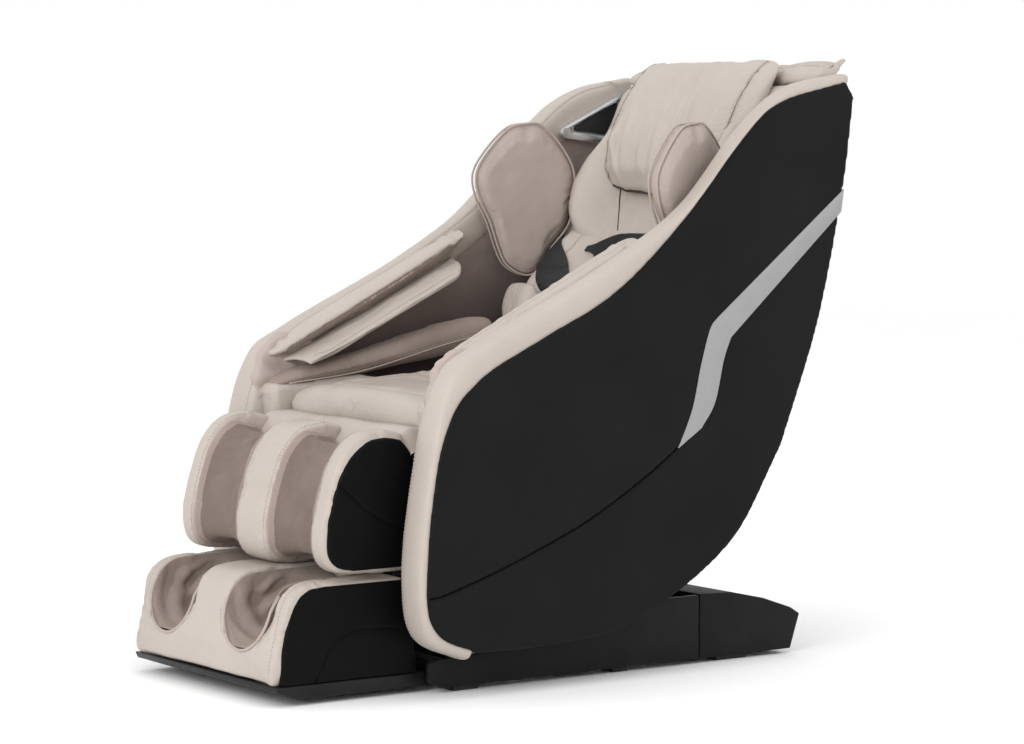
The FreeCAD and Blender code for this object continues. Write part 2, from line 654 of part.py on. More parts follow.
def drive_motor(d):
    """Barrel, gearbox and motor of one actuator."""
    eye = bush_x(d["x"] - 10, d["x"] + 10, d["a"], 12, DRIVE_PIN_R + RUN_CLEAR)
    neck = rod(drive_point(d, 10), drive_point(d, 34), 8)
    barrel = rod(drive_point(d, 30), drive_point(d, d["tube"]), 16)
    motor = rod(drive_point(d, 34, 38), drive_point(d, 110, 38), 17)
    gearbox = [rod(drive_point(d, 30, t), drive_point(d, 52, t), r) for t, r in ((38, 19), (0, 20))]
    whole = fuse([eye, neck, barrel, motor] + gearbox)
    bore = rod(drive_point(d, 40), drive_point(d, d["tube"] + 1), 9.0 + RUN_CLEAR)
    return whole.cut(bore)


def drive_rod(d):
    """Push rod of one actuator, ending in an oversize eye."""
    length = drive_frame(d)[2]
    bore = DRIVE_PIN_R + d["eye_clear"]
    shaft = rod(drive_point(d, d["tail"]), drive_point(d, length - bore - 3), 9.0)
    return fuse([shaft, bush_x(d["x"] - 9, d["x"] + 9, d["b"], bore + 5, bore)])


# ---- electrics ----------------------------------------------------------------------------------
def power_supply_box():
    return rounded(box(-60, 200, 320, 380, 56, 112), 4.0, along_x)


def air_pump():
    """Air pump on its bracket, with two outlet spigots."""
    body = rounded(box(-215, -110, 310, 375, 60, 118), 6.0, along_x)
    spigots = [rod(V(x, 300, 95), V(x, 312, 95), 5) for x in (-190, -150)]
    return fuse([body] + spigots)


def power_inlet():
    """Appliance inlet in the rear cover."""
    flange = box(-34, 34, 521, 526, 20, 62)
    body = box(-27, 27, 486, 524, 27, 57)
    cup = box(-14, 14, 500, 540, 33, 51)
    pins = [box(x - 1, x + 1, 499, 518, 38, 44) for x in (-7, 0, 7)]
    return fuse([fuse([flange, body]).cut(cup)] + pins)


def power_switch():
    return box(65, 87, 517, 532, 33, 45)


def main():
    os.makedirs("parts", exist_ok=True)
    save("base_frame", base_frame())
    save("base_feet", *base_feet())
    save("base_skirts", base_skirt(), mirror(base_skirt()))
    save("base_rear_cover", base_rear_cover())
    save("power_supply_box", power_supply_box())
    save("air_pump", air_pump())
    save("power_inlet", power_inlet())
    save("power_switch", power_switch())

    strip = trim_strip()
    panel = side_panel().cut(strip)
    save("side_panel_left", panel)
    save("side_panel_right", mirror(panel))
    save("trim_strips", strip, mirror(strip))
    liner = arm_liner()
    save("arm_liner_left", liner)
    save("arm_liner_right", mirror(liner))
    bolster = arm_bolster()
    save("arm_bolsters", bolster, mirror(bolster))
    save("arm_flaps", arm_flap(), mirror(arm_flap()))
    rest = armrest_pad()
    save("armrest_pads", rest, mirror(rest))
    save("speaker_bezels", speaker_bezel(), mirror(speaker_bezel()))
    save("speaker_grilles", speaker_grille(), mirror(speaker_grille()))
    save("seat_frame", seat_side_plate(-1), seat_side_plate(1))
    save("seat_crossmembers", *seat_crossmembers())
    save("hinge_pins", *hinge_pins())
    save("seat_cushion", seat_cushion())
    save("belly_cover", belly_cover())

    save("back_frame", back_frame())
    save("guide_rails", *guide_rails())
    save("back_shell", back_shell())
    save("back_cushion", *back_cushion())
    save("waist_panels", *waist_panels())
    save("top_flap", top_flap())
    save("head_pillow", head_pillow())
    save("shoulder_pad_left", shoulder_pad())
    save("shoulder_pad_right", mirror(shoulder_pad()))
    save("shoulder_brackets", shoulder_bracket(), mirror(shoulder_bracket()))

    save("carriage_frame", carriage_frame())
    save("knead_motor", knead_motor())
    save("lower_wheels", carriage_wheels(WHEEL_U[0]))
    save("upper_wheels", carriage_wheels(WHEEL_U[1]))
    for side, s in (("left", 1), ("right", -1)):
        save("massage_arm_" + side, massage_arm(s))
        save("upper_roller_" + side, massage_roller(s, ROLLER_U))
        save("lower_roller_" + side, massage_roller(s, -ROLLER_U))

    save("calf_frame", calf_frame())
    side_pads = [calf_pad(*sorted((s * CALF_SIDE, s * 255.5))) for s in (1, -1)]
    save("calf_pads", side_pads[0], calf_pad(-CALF_DIVIDER, CALF_DIVIDER), side_pads[1])
    save("calf_liners", calf_liner(-1), calf_liner(1))
    save("calf_side_panels", calf_side_panel(), mirror(calf_side_panel()))
    save("foot_frame", foot_frame())
    save("foot_tray", foot_tray())
    save("foot_cushion", foot_cushion())
    save("foot_liners", foot_liner(-1), foot_liner(1))
    save("foot_side_panels", foot_side_panel(), mirror(foot_side_panel()))
    save("foot_roller_front", foot_roller(FOOT_ROLLER_Y[0]))
    save("foot_roller_rear", foot_roller(FOOT_ROLLER_Y[1]))

    for name, d in (("tilt", TILT_DRIVE), ("back", BACK_DRIVE), ("leg", LEG_DRIVE)):
        save(name + "_drive_motor", drive_motor(d))
        save(name + "_drive_rod", drive_rod(d))


main()
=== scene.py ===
"""Looks of the massage chair: upholstery, panels, trims, floor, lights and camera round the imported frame."""
import math
import bmesh
import bpy
import numpy as np
from mathutils import Matrix, Vector
from mathutils.bvhtree import BVHTree


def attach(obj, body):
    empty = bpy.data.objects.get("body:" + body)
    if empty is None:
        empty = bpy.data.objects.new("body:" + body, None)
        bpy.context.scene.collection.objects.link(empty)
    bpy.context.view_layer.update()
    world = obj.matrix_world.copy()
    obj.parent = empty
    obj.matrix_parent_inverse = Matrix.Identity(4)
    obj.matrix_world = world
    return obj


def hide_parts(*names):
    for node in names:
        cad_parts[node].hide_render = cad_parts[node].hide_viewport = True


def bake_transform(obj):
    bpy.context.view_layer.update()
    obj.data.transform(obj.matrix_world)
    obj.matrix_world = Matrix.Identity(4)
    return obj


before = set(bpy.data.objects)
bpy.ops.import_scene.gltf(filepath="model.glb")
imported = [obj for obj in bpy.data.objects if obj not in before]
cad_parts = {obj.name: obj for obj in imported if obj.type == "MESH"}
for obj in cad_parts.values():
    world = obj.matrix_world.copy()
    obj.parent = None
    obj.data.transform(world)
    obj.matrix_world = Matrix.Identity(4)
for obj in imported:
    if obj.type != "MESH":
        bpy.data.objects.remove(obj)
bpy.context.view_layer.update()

SCENE = bpy.context.scene
COLL = SCENE.collection
LEAN = math.radians(28)          # backrest from the vertical
SL, CL = math.sin(LEAN), math.cos(LEAN)
BACK_Y, BACK_Z = 215, 500        # foot of the backrest's front face
PANEL_X = (350, 380)             # inner and outer face of a side panel
LEG_SIDE_X = (250, 265)          # inner and outer face of the leg sections' side covers
FLOOR_REACH = 9000
CAMERA_SPOT = (5.353, -3.707, 1.040)
CAMERA_TARGET = (0, 0.055, 0.560)
LENS = 117.6


# ---- numbers and curves --------------------------------------------------------------------
def back(u, w):
    """(Y, Z) in millimetres of a point u up the backrest and w behind its front face."""
    return (BACK_Y + u * SL + w * CL, BACK_Z + u * CL - w * SL)


def from_back(co):
    """How far up the backrest and how far behind its front face each point lies."""
    y, z = co[:, 1] - BACK_Y, co[:, 2] - BACK_Z
    return y * SL + z * CL, y * CL - z * SL


def directions(line):
    """Unit vector along the line at each of its points."""
    t = np.gradient(np.asarray(line, float), axis=0)
    return t / np.linalg.norm(t, axis=1)[:, None]


def catmull(points, closed=False, n=None, step=None):
    """Smooth curve through points, evenly spaced: n points, or one every step."""
    p = np.array(points, float)
    m = len(p)
    segs = m if closed else m - 1
    out = []
    for i in range(segs):
        if closed:
            a, b, c, d = p[(i - 1) % m], p[i], p[(i + 1) % m], p[(i + 2) % m]
        else:
            b, c = p[i], p[i + 1]
            a = p[i - 1] if i else 2 * b - c
            d = p[i + 2] if i + 2 < m else 2 * c - b
        t = np.linspace(0, 1, 24, endpoint=False)[:, None]
        bend, twist = 2 * a - 5 * b + 4 * c - d, 3 * b - a - 3 * c + d
        out.append(0.5 * (2 * b + (c - a) * t + bend * t ** 2 + twist * t ** 3))
    out = np.vstack(out + [p[:1] if closed else p[-1:]])
    return resample(out, n, step, closed)


def resample(line, n=None, step=None, closed=False):
    """Evenly spaced points along a line: n of them, or one every step."""
    line = np.array(line, float)
    s = np.concatenate([[0], np.cumsum(np.linalg.norm(np.diff(line, axis=0), axis=1))])
    if n is None:
        n = max(3, int(round(s[-1] / step)) + (0 if closed else 1))
    at = np.linspace(0, s[-1], n, endpoint=not closed)
    return np.column_stack([np.interp(at, s, line[:, k]) for k in range(line.shape[1])])


def smoothstep(x, a, b):
    """0 below a, 1 above b, with a smooth rise between them."""
    t = np.clip((np.asarray(x, float) - a) / (b - a), 0, 1)
    return t * t * (3 - 2 * t)


def segment_distance(p, line, closed=False):
    """Distance of each row of p to a polyline."""
    line = np.asarray(line, float)
    a = line if closed else line[:-1]
    b = np.roll(line, -1, 0) if closed else line[1:]
    best = np.full(len(p), 1e9)
    for q, r in zip(a, b):
        d = r - q
        t = np.clip(((p - q) @ d) / max(d @ d, 1e-12), 0, 1)
        best = np.minimum(best, np.linalg.norm(p - q - t[:, None] * d, axis=1))
    return best


def waves(p, seed, scale, octaves=3):
    """Soft random bumps between about -1 and 1 at the points p, from a fixed seed."""
    rng = np.random.default_rng(seed)
    out = np.zeros(len(p))
    amp = 1.0
    for _ in range(octaves):
        for _ in range(5):
            k = rng.normal(size=3)
            k *= 2 * math.pi / (scale * np.linalg.norm(k)) * rng.uniform(0.7, 1.3)
            out += amp * np.sin(p @ k + rng.uniform(0, 6.28)) / 5
        amp *= 0.5
        scale *= 0.5
    return out


# ---- meshes ----------------------------------------------------------------------------------
def mesh_object(name, verts, faces):
    """Object from vertices in millimetres."""
    me = bpy.data.meshes.new(name)
    me.from_pydata([tuple(v) for v in np.asarray(verts, float) / 1000], [], [tuple(f) for f in faces])
    me.update()
    obj = bpy.data.objects.new(name, me)
    COLL.objects.link(obj)
    return obj


def coords(obj):
    """The mesh's points in millimetres."""
    co = np.zeros(len(obj.data.vertices) * 3)
    obj.data.vertices.foreach_get("co", co)
    return co.reshape(-1, 3) * 1000


def normals(obj):
    no = np.zeros(len(obj.data.vertices) * 3)
    obj.data.vertices.foreach_get("normal", no)
    return no.reshape(-1, 3)


def set_coords(obj, co):
    obj.data.vertices.foreach_set("co", (np.asarray(co) / 1000).ravel())
    obj.data.update()


def bake(obj):
    """Applies the object's modifiers."""
    bpy.context.view_layer.update()
    me = bpy.data.meshes.new_from_object(obj.evaluated_get(bpy.context.evaluated_depsgraph_get()))
    obj.modifiers.clear()
    obj.data = me
    return obj


def reworked(obj, work):
    """Runs work on the object's mesh as a bmesh."""
    bm = bmesh.new()
    bm.from_mesh(obj.data)
    work(bm)
    bm.to_mesh(obj.data)
    bm.free()
    return obj


def modified(obj, kind, **settings):
    """Applies one modifier with the given settings."""
    m = obj.modifiers.new(kind.lower(), kind)
    for name, value in settings.items():
        setattr(m, name, value)
    return bake(obj)


def remesh(obj, size):
    return modified(obj, "REMESH", mode="VOXEL", voxel_size=size / 1000)


def smooth(obj, times, factor):
    return modified(obj, "SMOOTH", factor=factor, iterations=times)


def subdivide(obj):
    return modified(obj, "SUBSURF", levels=1)


def thicken(obj, thickness):
    """Gives a single surface its thickness, half to each side."""
    return modified(obj, "SOLIDIFY", thickness=thickness / 1000, offset=0)


def bevel(obj, width, angle):
    return modified(obj, "BEVEL", width=width / 1000, segments=3, limit_method="ANGLE",
                    angle_limit=math.radians(angle), harden_normals=False)


def shade(obj, angle=None):
    """Smooth shading, with sharp edges kept over the angle in degrees."""
    for p in obj.data.polygons:
        p.use_smooth = True

    def sharpen(bm):
        for e in bm.edges:
            if len(e.link_faces) == 2 and e.calc_face_angle(0) > math.radians(angle):
                e.smooth = False
    return reworked(obj, sharpen) if angle else obj


def outward(obj):
    """Turns every face's front outwards."""
    return reworked(obj, lambda bm: bmesh.ops.recalc_face_normals(bm, faces=bm.faces))


def slab(name, outline, x0, x1):
    """Closed solid between x0 and x1 over an outline of (Y, Z) points."""
    n = len(outline)
    verts = [(x0, y, z) for y, z in outline] + [(x1, y, z) for y, z in outline]
    faces = [list(range(n))[::-1], list(range(n, 2 * n))]
    faces += [(i, (i + 1) % n, n + (i + 1) % n, n + i) for i in range(n)]
    obj = outward(mesh_object(name, verts, faces))

    def split_caps(bm):
        bmesh.ops.triangulate(bm, faces=[f for f in bm.faces if len(f.verts) > 4])
    return reworked(obj, split_caps)


def loft(name, rows, close_rows=False, caps=False):
    """Grid surface through rows of points; each row has the same number."""
    rows = [np.asarray(r, float) for r in rows]
    n, m = len(rows), len(rows[0])
    faces = []
    for i in range(n - 1):
        for j in range(m if close_rows else m - 1):
            k = (j + 1) % m
            faces.append((i * m + j, i * m + k, (i + 1) * m + k, (i + 1) * m + j))
    if caps:
        faces.append(list(range(m))[::-1])
        faces.append(list(range((n - 1) * m, n * m)))
    return outward(mesh_object(name, np.vstack(rows), faces))


def tube(name, line, radius, sides=8, closed=False):
    """Round cord along a line of points in millimetres."""
    p = np.asarray(line, float)
    nxt = np.roll(p, -1, 0) if closed else np.vstack([p[1:], 2 * p[-1:] - p[-2:-1]])
    prv = np.roll(p, 1, 0) if closed else np.vstack([2 * p[:1] - p[1:2], p[:-1]])
    t = nxt - prv
    t /= np.linalg.norm(t, axis=1)[:, None]
    ref = np.array([1.0, 0, 0] if abs(t[0][0]) < 0.8 else [0, 0, 1.0])
    rows = []
    for q, d in zip(p, t):
        a = ref - d * (ref @ d)
        a /= np.linalg.norm(a)
        b = np.cross(d, a)
        ref = a
        ang = np.linspace(0, 2 * math.pi, sides, endpoint=False)
        rows.append(q + radius * (np.cos(ang)[:, None] * a + np.sin(ang)[:, None] * b))
    if closed:
        rows.append(rows[0])
    return shade(loft(name, rows, close_rows=True, caps=not closed))


def crown(obj, outline, x0, x1, edge, rim=0.3, rise=0.0):
    """Rounds a slab's faces off towards its outline: full thickness from edge inwards, rim of it outside."""
    co = coords(obj)
    d = segment_distance(co[:, 1:], outline, closed=True)
    t = np.clip(d / edge, 0, 1)
    f = rim + (1 - rim) * np.sqrt(np.clip(1 - (1 - t) ** 2, 0, 1))
    mid = (x0 + x1) / 2
    half = (x1 - x0) / 2
    bulge = 1 + rise / half * smoothstep(d, 0, edge * 3)
    co[:, 0] = mid + (co[:, 0] - mid) * f * bulge
    set_coords(obj, co)
    return obj


def swell(obj, pressure, cap, frames=20, stiff=8.0):
    """Inflates a closed mesh by cloth simulation, no point moving more than cap millimetres."""
    before = coords(obj)
    m = obj.modifiers.new("cloth", "CLOTH")
    s = m.settings
    s.quality = 5
    s.mass = 0.3
    s.tension_stiffness = stiff
    s.compression_stiffness = stiff
    s.shear_stiffness = stiff * 0.6
    s.bending_stiffness = 0.6
    s.use_pressure = True
    s.uniform_pressure_force = pressure
    s.effector_weights.gravity = 0
    m.collision_settings.use_collision = False
    m.point_cache.frame_start = 1
    m.point_cache.frame_end = frames
    for f in range(1, frames + 1):
        SCENE.frame_set(f)
    bake(obj)
    SCENE.frame_set(1)
    move = coords(obj) - before
    size = np.linalg.norm(move, axis=1)
    k = np.where(size > cap, cap / np.maximum(size, 1e-9), 1)
    set_coords(obj, before + move * k[:, None])
    return obj


def surface_tree(obj):
    return BVHTree.FromPolygons([v.co for v in obj.data.vertices], [p.vertices for p in obj.data.polygons])


def on_surface(obj, line, lift=0.0):
    """Points of line moved to the nearest place on obj, lifted off it along its normal."""
    tree = surface_tree(obj)
    out = []
    for p in line:
        at, no, _, _ = tree.find_nearest(Vector(p) / 1000)
        out.append(np.array(at) * 1000 + np.array(no) * lift)
    return np.array(out)


def groove(obj, line, width, depth):
    """Presses a channel into obj along a line of points near its surface."""
    co = coords(obj)
    lo, hi = line.min(0) - 4 * width, line.max(0) + 4 * width
    near = np.where(((co > lo) & (co < hi)).all(1))[0]
    if len(near):
        d = segment_distance(co[near], line)
        co[near] -= normals(obj)[near] * (depth * np.exp(-(d / width) ** 2))[:, None]
        set_coords(obj, co)
    return obj


def push(obj, amount):
    """Moves each point along its normal."""
    set_coords(obj, coords(obj) + normals(obj) * amount[:, None])
    return obj


def ripple(obj, amount, seed, scale, stretch=(1, 1, 1)):
    """Soft uneven surface."""
    return push(obj, waves(coords(obj) / np.array(stretch), seed, scale) * amount)


STITCH_SETS = []


def stitch(obj, line, body, side, pitch=7.0, tone="thread_light", lift=0.3):
    """Row of thread stitches along a line on obj, moved sideways by side millimetres along the surface."""
    dense = on_surface(obj, resample(line, step=3.0))
    tree = surface_tree(obj)
    out = []
    for p, d in zip(dense, np.gradient(dense, axis=0)):
        _, no, _, _ = tree.find_nearest(Vector(p) / 1000)
        s = np.cross(d / max(np.linalg.norm(d), 1e-9), np.array(no))
        out.append(p + s * side)
    dense = on_surface(obj, resample(on_surface(obj, out), step=pitch / 2), lift)
    verts, faces = [], []
    for i in range(0, len(dense) - 1, 2):
        a, b = dense[i], dense[i + 1]
        d = (b - a) / max(np.linalg.norm(b - a), 1e-9)
        b = a + d * pitch * 0.62
        ref = np.array([0.3, 0.5, 0.8])
        u = np.cross(d, ref)
        u /= np.linalg.norm(u)
        v = np.cross(d, u)
        base = len(verts)
        for q, r in ((a, 0.25), (a + d * 0.9, 0.62), (b - d * 0.9, 0.62), (b, 0.25)):
            for k in range(5):
                ang = k * 2 * math.pi / 5
                verts.append(q + r * (math.cos(ang) * u + math.sin(ang) * v))
        for row in range(3):
            for k in range(5):
                faces.append((base + row * 5 + k, base + row * 5 + (k + 1) % 5,
                              base + row * 5 + 5 + (k + 1) % 5, base + row * 5 + 5 + k))
    STITCH_SETS.append((obj, body, tone, verts, faces))


def seam(obj, points, body, width, depth, stitches):
    """Sewn seam through points: a groove, with a row of stitches each given distance to its side."""
    line = on_surface(obj, catmull(points, step=5.0))
    groove(obj, line, width, depth)
    for s in stitches:
        stitch(obj, line, body, s)
    return line


# ---- materials -------------------------------------------------------------------------------
def fill(nt, n, inputs):
    """Sets a shader node's inputs, each by a value or by the socket that drives it."""
    for key, value in inputs.items():
        if isinstance(value, bpy.types.NodeSocket):
            nt.links.new(value, n.inputs[key])
        else:
            n.inputs[key].default_value = value
    return n


def node(nt, kind, inputs, **settings):
    n = nt.nodes.new("ShaderNode" + kind)
    for name, value in settings.items():
        setattr(n, name, value)
    return fill(nt, n, inputs)


def new_material(name):
    m = bpy.data.materials.new(name)
    m.use_nodes = True
    nt = m.node_tree
    return m, nt, nt.nodes["Principled BSDF"], node(nt, "TexCoord", {}).outputs["Object"]


def noise_node(nt, vec, scale, detail=3.0, rough=0.5, stretch=None):
    if stretch:
        vec = node(nt, "Mapping", {"Scale": stretch, "Vector": vec}).outputs["Vector"]
    inputs = {"Scale": scale, "Detail": detail, "Roughness": rough, "Vector": vec}
    return node(nt, "TexNoise", inputs).outputs["Fac"]


def ramp(nt, fac, low, dark, high, light):
    """Colour going from dark at low to light at high."""
    r = node(nt, "ValToRGB", {"Fac": fac})
    for stop, place, colour in zip(r.color_ramp.elements, (low, high), (dark, light)):
        stop.position = place
        stop.color = (*colour, 1)
    return r.outputs["Color"]


def span(nt, fac, lo, hi):
    return node(nt, "MapRange", {"To Min": lo, "To Max": hi, "Value": fac}).outputs["Result"]


def bump(nt, height, strength, distance, before=None):
    b = node(nt, "Bump", {"Strength": strength, "Distance": distance, "Height": height})
    if before is not None:
        nt.links.new(before, b.inputs["Normal"])
    return b.outputs["Normal"]


def pebble(nt, vec, scale):
    """Leather's cells: 0 in the creases, 1 on the pebbles."""
    v = node(nt, "TexVoronoi", {"Scale": scale, "Randomness": 1.0, "Vector": vec}, feature="DISTANCE_TO_EDGE")
    inputs = {"From Max": 0.16, "Value": v.outputs["Distance"]}
    return node(nt, "MapRange", inputs, interpolation_type="SMOOTHSTEP").outputs["Result"]


def mixed(nt, blend, factor, a, b):
    return node(nt, "Mix", {"Factor": factor, 6: a, 7: b}, data_type="RGBA", blend_type=blend).outputs[2]


def leather(name, dark, light, rough=(0.40, 0.52), grain=420, grain_bump=0.16, crease=0.10, spec=0.5,
            painted_shade=None):
    """Leather; the last argument (height, span, dark, light) paints shade: darker tones below a slanting
    height in metres.
    """
    m, nt, bsdf, vec = new_material(name)
    tone = noise_node(nt, vec, 5.5, 4, 0.55)
    colour = ramp(nt, tone, 0.30, dark, 0.72, light)
    # painted shade: below the slanting height the colour blends into the darker tones
    if painted_shade:
        height, depth, low_dark, low_light = painted_shade
        level = node(nt, "VectorMath", {0: vec, 1: (0, -0.35, 1)}, operation="DOT_PRODUCT").outputs["Value"]
        inputs = {"From Min": height - depth / 2, "From Max": height + depth / 2, "Value": level}
        above = node(nt, "MapRange", inputs, interpolation_type="SMOOTHSTEP").outputs["Result"]
        colour = mixed(nt, "MIX", above, ramp(nt, tone, 0.30, low_dark, 0.72, low_light), colour)
    cells = pebble(nt, vec, grain)
    shadow = ramp(nt, cells, 0.0, (0.55, 0.52, 0.50), 1.0, (1, 1, 1))
    creases = bump(nt, noise_node(nt, vec, 24, 5, 0.6), crease, 0.004)
    fill(nt, bsdf, {"Base Color": mixed(nt, "MULTIPLY", 0.22, colour, shadow),
                    "Roughness": span(nt, noise_node(nt, vec, 38, 3), *rough),
                    "Normal": bump(nt, cells, grain_bump, 0.0006, creases),
                    "Specular IOR Level": spec})
    return m


def fabric(name, dark, light, rib=900):
    """Fine woven cloth with a slight heather."""
    m, nt, bsdf, vec = new_material(name)
    tone = node(nt, "Math", {0: noise_node(nt, vec, 9, 5, 0.6), 1: 0.55}, operation="MULTIPLY").outputs[0]
    fleck = noise_node(nt, vec, 620, 2, 0.7)
    heather = node(nt, "Math", {0: fleck, 1: 0.45, 2: tone}, operation="MULTIPLY_ADD").outputs[0]
    yarn = {"Scale": rib / 6.28, "Distortion": 1.2, "Detail": 1.0, "Detail Scale": 2.0, "Vector": vec}
    warp, weft = (node(nt, "TexWave", yarn, bands_direction=d).outputs["Fac"] for d in ("X", "Z"))
    weave = node(nt, "Math", {0: warp, 1: weft}, operation="MAXIMUM").outputs[0]
    slub = bump(nt, noise_node(nt, vec, 40, 4, 0.6), 0.25, 0.003)
    fill(nt, bsdf, {"Base Color": ramp(nt, heather, 0.36, dark, 0.64, light),
                    "Normal": bump(nt, weave, 0.35, 0.0005, slub),
                    "Roughness": 0.92,
                    "Sheen Weight": 0.35,
                    "Sheen Roughness": 0.45,
                    "Sheen Tint": (*[min(1, c * 2.2) for c in light], 1),
                    "Specular IOR Level": 0.2})
    return m


def plastic(name, dark, light, rough=(0.42, 0.55), texture=1400, strength=0.12, spec=0.5):
    m, nt, bsdf, vec = new_material(name)
    fill(nt, bsdf, {"Base Color": ramp(nt, noise_node(nt, vec, 14, 4), 0.3, dark, 0.7, light),
                    "Roughness": span(nt, noise_node(nt, vec, 60, 3), *rough),
                    "Normal": bump(nt, noise_node(nt, vec, texture, 2, 0.7), strength, 0.0004),
                    "Specular IOR Level": spec})
    return m


def brushed(name, dark, light, stretch, rough=(0.28, 0.4), metallic=0.9):
    m, nt, bsdf, vec = new_material(name)
    lines = noise_node(nt, vec, 60, 4, 0.6, stretch)
    fill(nt, bsdf, {"Base Color": ramp(nt, lines, 0.3, dark, 0.7, light),
                    "Roughness": span(nt, lines, *rough),
                    "Normal": bump(nt, lines, 0.12, 0.0004),
                    "Metallic": metallic})
    return m


def perforated(name):
    """Black speaker mesh: a grid of small round holes, drawn as near-black dots in the colour, painted shade
    seen through them.
    """
    m, nt, bsdf, vec = new_material(name)
    v = node(nt, "TexVoronoi", {"Scale": 330, "Randomness": 0.0, "Vector": vec}).outputs["Distance"]
    # painted shade: near-black at the hole centres, the dark seen through the holes
    fill(nt, bsdf, {"Base Color": ramp(nt, v, 0.28, (0.002, 0.002, 0.002), 0.36, (0.03, 0.03, 0.032)),
                    "Normal": bump(nt, v, 0.5, 0.001),
                    "Roughness": span(nt, noise_node(nt, vec, 90), 0.4, 0.6)})
    return m


MAT = {
    "light": leather("light_leather", (0.432, 0.380, 0.338), (0.480, 0.424, 0.378), spec=0.4),
    "mid": leather("mid_leather", (0.385, 0.322, 0.288), (0.440, 0.370, 0.334), spec=0.35),
    # wall leather: the darker tones below 0.66 m are painted shade, the darkening low on the inner walls
    "wall": leather("wall_leather", (0.335, 0.270, 0.245), (0.400, 0.330, 0.300), spec=0.2,
                    painted_shade=(0.66, 0.30, (0.060, 0.045, 0.046), (0.105, 0.080, 0.080))),
    "black": leather("black_leather", (0.0070, 0.0070, 0.0072), (0.0095, 0.0095, 0.0098), rough=(0.44, 0.56),
                     grain=520, grain_bump=0.10, crease=0.05, spec=0.08),
    # darker copy of the black leather for the leg sections' sides: painted shade
    "jet": leather("black_leather_shaded", (0.0028, 0.0028, 0.0030), (0.0046, 0.0046, 0.0048), rough=(0.40, 0.52),
                   grain=520, grain_bump=0.10, crease=0.08, spec=0.07),
    "strap": leather("strap_leather", (0.012, 0.012, 0.013), (0.018, 0.018, 0.019), rough=(0.36, 0.5),
                     grain=480, grain_bump=0.14, spec=0.2),
    "taupe": fabric("taupe_fabric", (0.135, 0.104, 0.088), (0.195, 0.155, 0.134)),
    "taupe_light": fabric("taupe_fabric_light", (0.230, 0.182, 0.158), (0.320, 0.262, 0.230)),
    "black_plastic": plastic("black_plastic", (0.0090, 0.0090, 0.0095), (0.0125, 0.0125, 0.0130), spec=0.10),
    "tray_plastic": plastic("tray_plastic", (0.010, 0.010, 0.011), (0.016, 0.016, 0.017), rough=(0.3, 0.42),
                            spec=0.16),
    "steel": plastic("painted_steel", (0.020, 0.020, 0.022), (0.035, 0.035, 0.037), texture=900,
                     strength=0.1),
    "bright": brushed("turned_steel", (0.45, 0.45, 0.46), (0.62, 0.62, 0.63), (1, 12, 12)),
    "silver": brushed("silver_trim", (0.285, 0.285, 0.288), (0.305, 0.305, 0.308), (10, 1, 1),
                      rough=(0.40, 0.46), metallic=0.2),
    "bezel": brushed("satin_silver", (0.60, 0.61, 0.62), (0.68, 0.69, 0.70), (1, 8, 1), rough=(0.20, 0.28),
                     metallic=0.8),
    "mesh": perforated("speaker_mesh"),
    "roller": plastic("roller_plastic", (0.56, 0.50, 0.40), (0.64, 0.58, 0.47), rough=(0.3, 0.4)),
    "rubber": plastic("rubber", (0.012, 0.012, 0.012), (0.024, 0.024, 0.024), rough=(0.7, 0.85), texture=700,
                      strength=0.3),
    "thread_light": fabric("thread_light", (0.36, 0.30, 0.27), (0.47, 0.41, 0.37), rib=3000),
    # black cords in the creases: painted shade along the crease lines
    "crease_shadow_black": plastic("welt_black", (0.0030, 0.0030, 0.0031), (0.0045, 0.0045, 0.0046),
                            rough=(0.7, 0.8), spec=0.02),
    # dark cord material: paints the shadow lines under the pillow and along the wing seam
    "painted_shadow_dark": fabric("painted_shadow_dark", (0.020, 0.020, 0.021), (0.045, 0.045, 0.046), rib=3000),
}


def wear(obj, key):
    if obj.data.materials:
        obj.data.materials[0] = MAT[key]
    else:
        obj.data.materials.append(MAT[key])
    return obj


def piece(obj, key, body, nodes=()):
    """Finishes a new piece: its material, slot, body, and the CAD nodes it stands for."""
    wear(obj, key)
    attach(obj, body)
    if nodes:
        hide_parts(*nodes)
    return obj


def two_tone(obj, key, test):
    """Gives the faces for which test(centres, normals) holds a second material."""
    me = obj.data
    n = len(me.polygons)
    centre, normal = np.zeros(n * 3), np.zeros(n * 3)
    me.polygons.foreach_get("center", centre)
    me.polygons.foreach_get("normal", normal)
    pick = test(centre.reshape(-1, 3) * 1000, normal.reshape(-1, 3)).astype(np.int32)
    if not me.materials:
        me.materials.append(None)
    me.materials.append(MAT[key])
    me.polygons.foreach_set("material_index", pick)
    me.update()
    return obj


def piping_and_shadow_cord(name, points, key, body, radius):
    """Fine cord lying in a seam, on both sides of the chair: the armrest's piping, and black cords that paint
    the shade in the creases.
    """
    both(tube(name, catmull(points, step=7), radius, 6), name, key, body)


def mirrored(obj, name):
    """Copy of obj on the chair's other side."""
    out = bpy.data.objects.new(name, obj.data.copy())
    COLL.objects.link(out)
    set_coords(out, coords(obj) * np.array([-1, 1, 1]))
    out.data.flip_normals()
    out.data.update()
    return out


def both(obj, stem, key, body, nodes=None):
    """Makes obj the left-hand piece and its mirror image the right-hand one; nodes: left's, right's."""
    obj.name = stem + "_left"
    other = mirrored(obj, stem + "_right")
    left, right = body if isinstance(body, tuple) else (body, body)
    piece(obj, key, left, nodes[0] if nodes else ())
    piece(other, key, right, nodes[1] if nodes else ())
    for owner, _, tone, verts, faces in list(STITCH_SETS):
        if owner is obj:
            flipped = [(-x, y, z) for x, y, z in verts]
            STITCH_SETS.append((other, right, tone, flipped, [f[::-1] for f in faces]))
    return obj, other


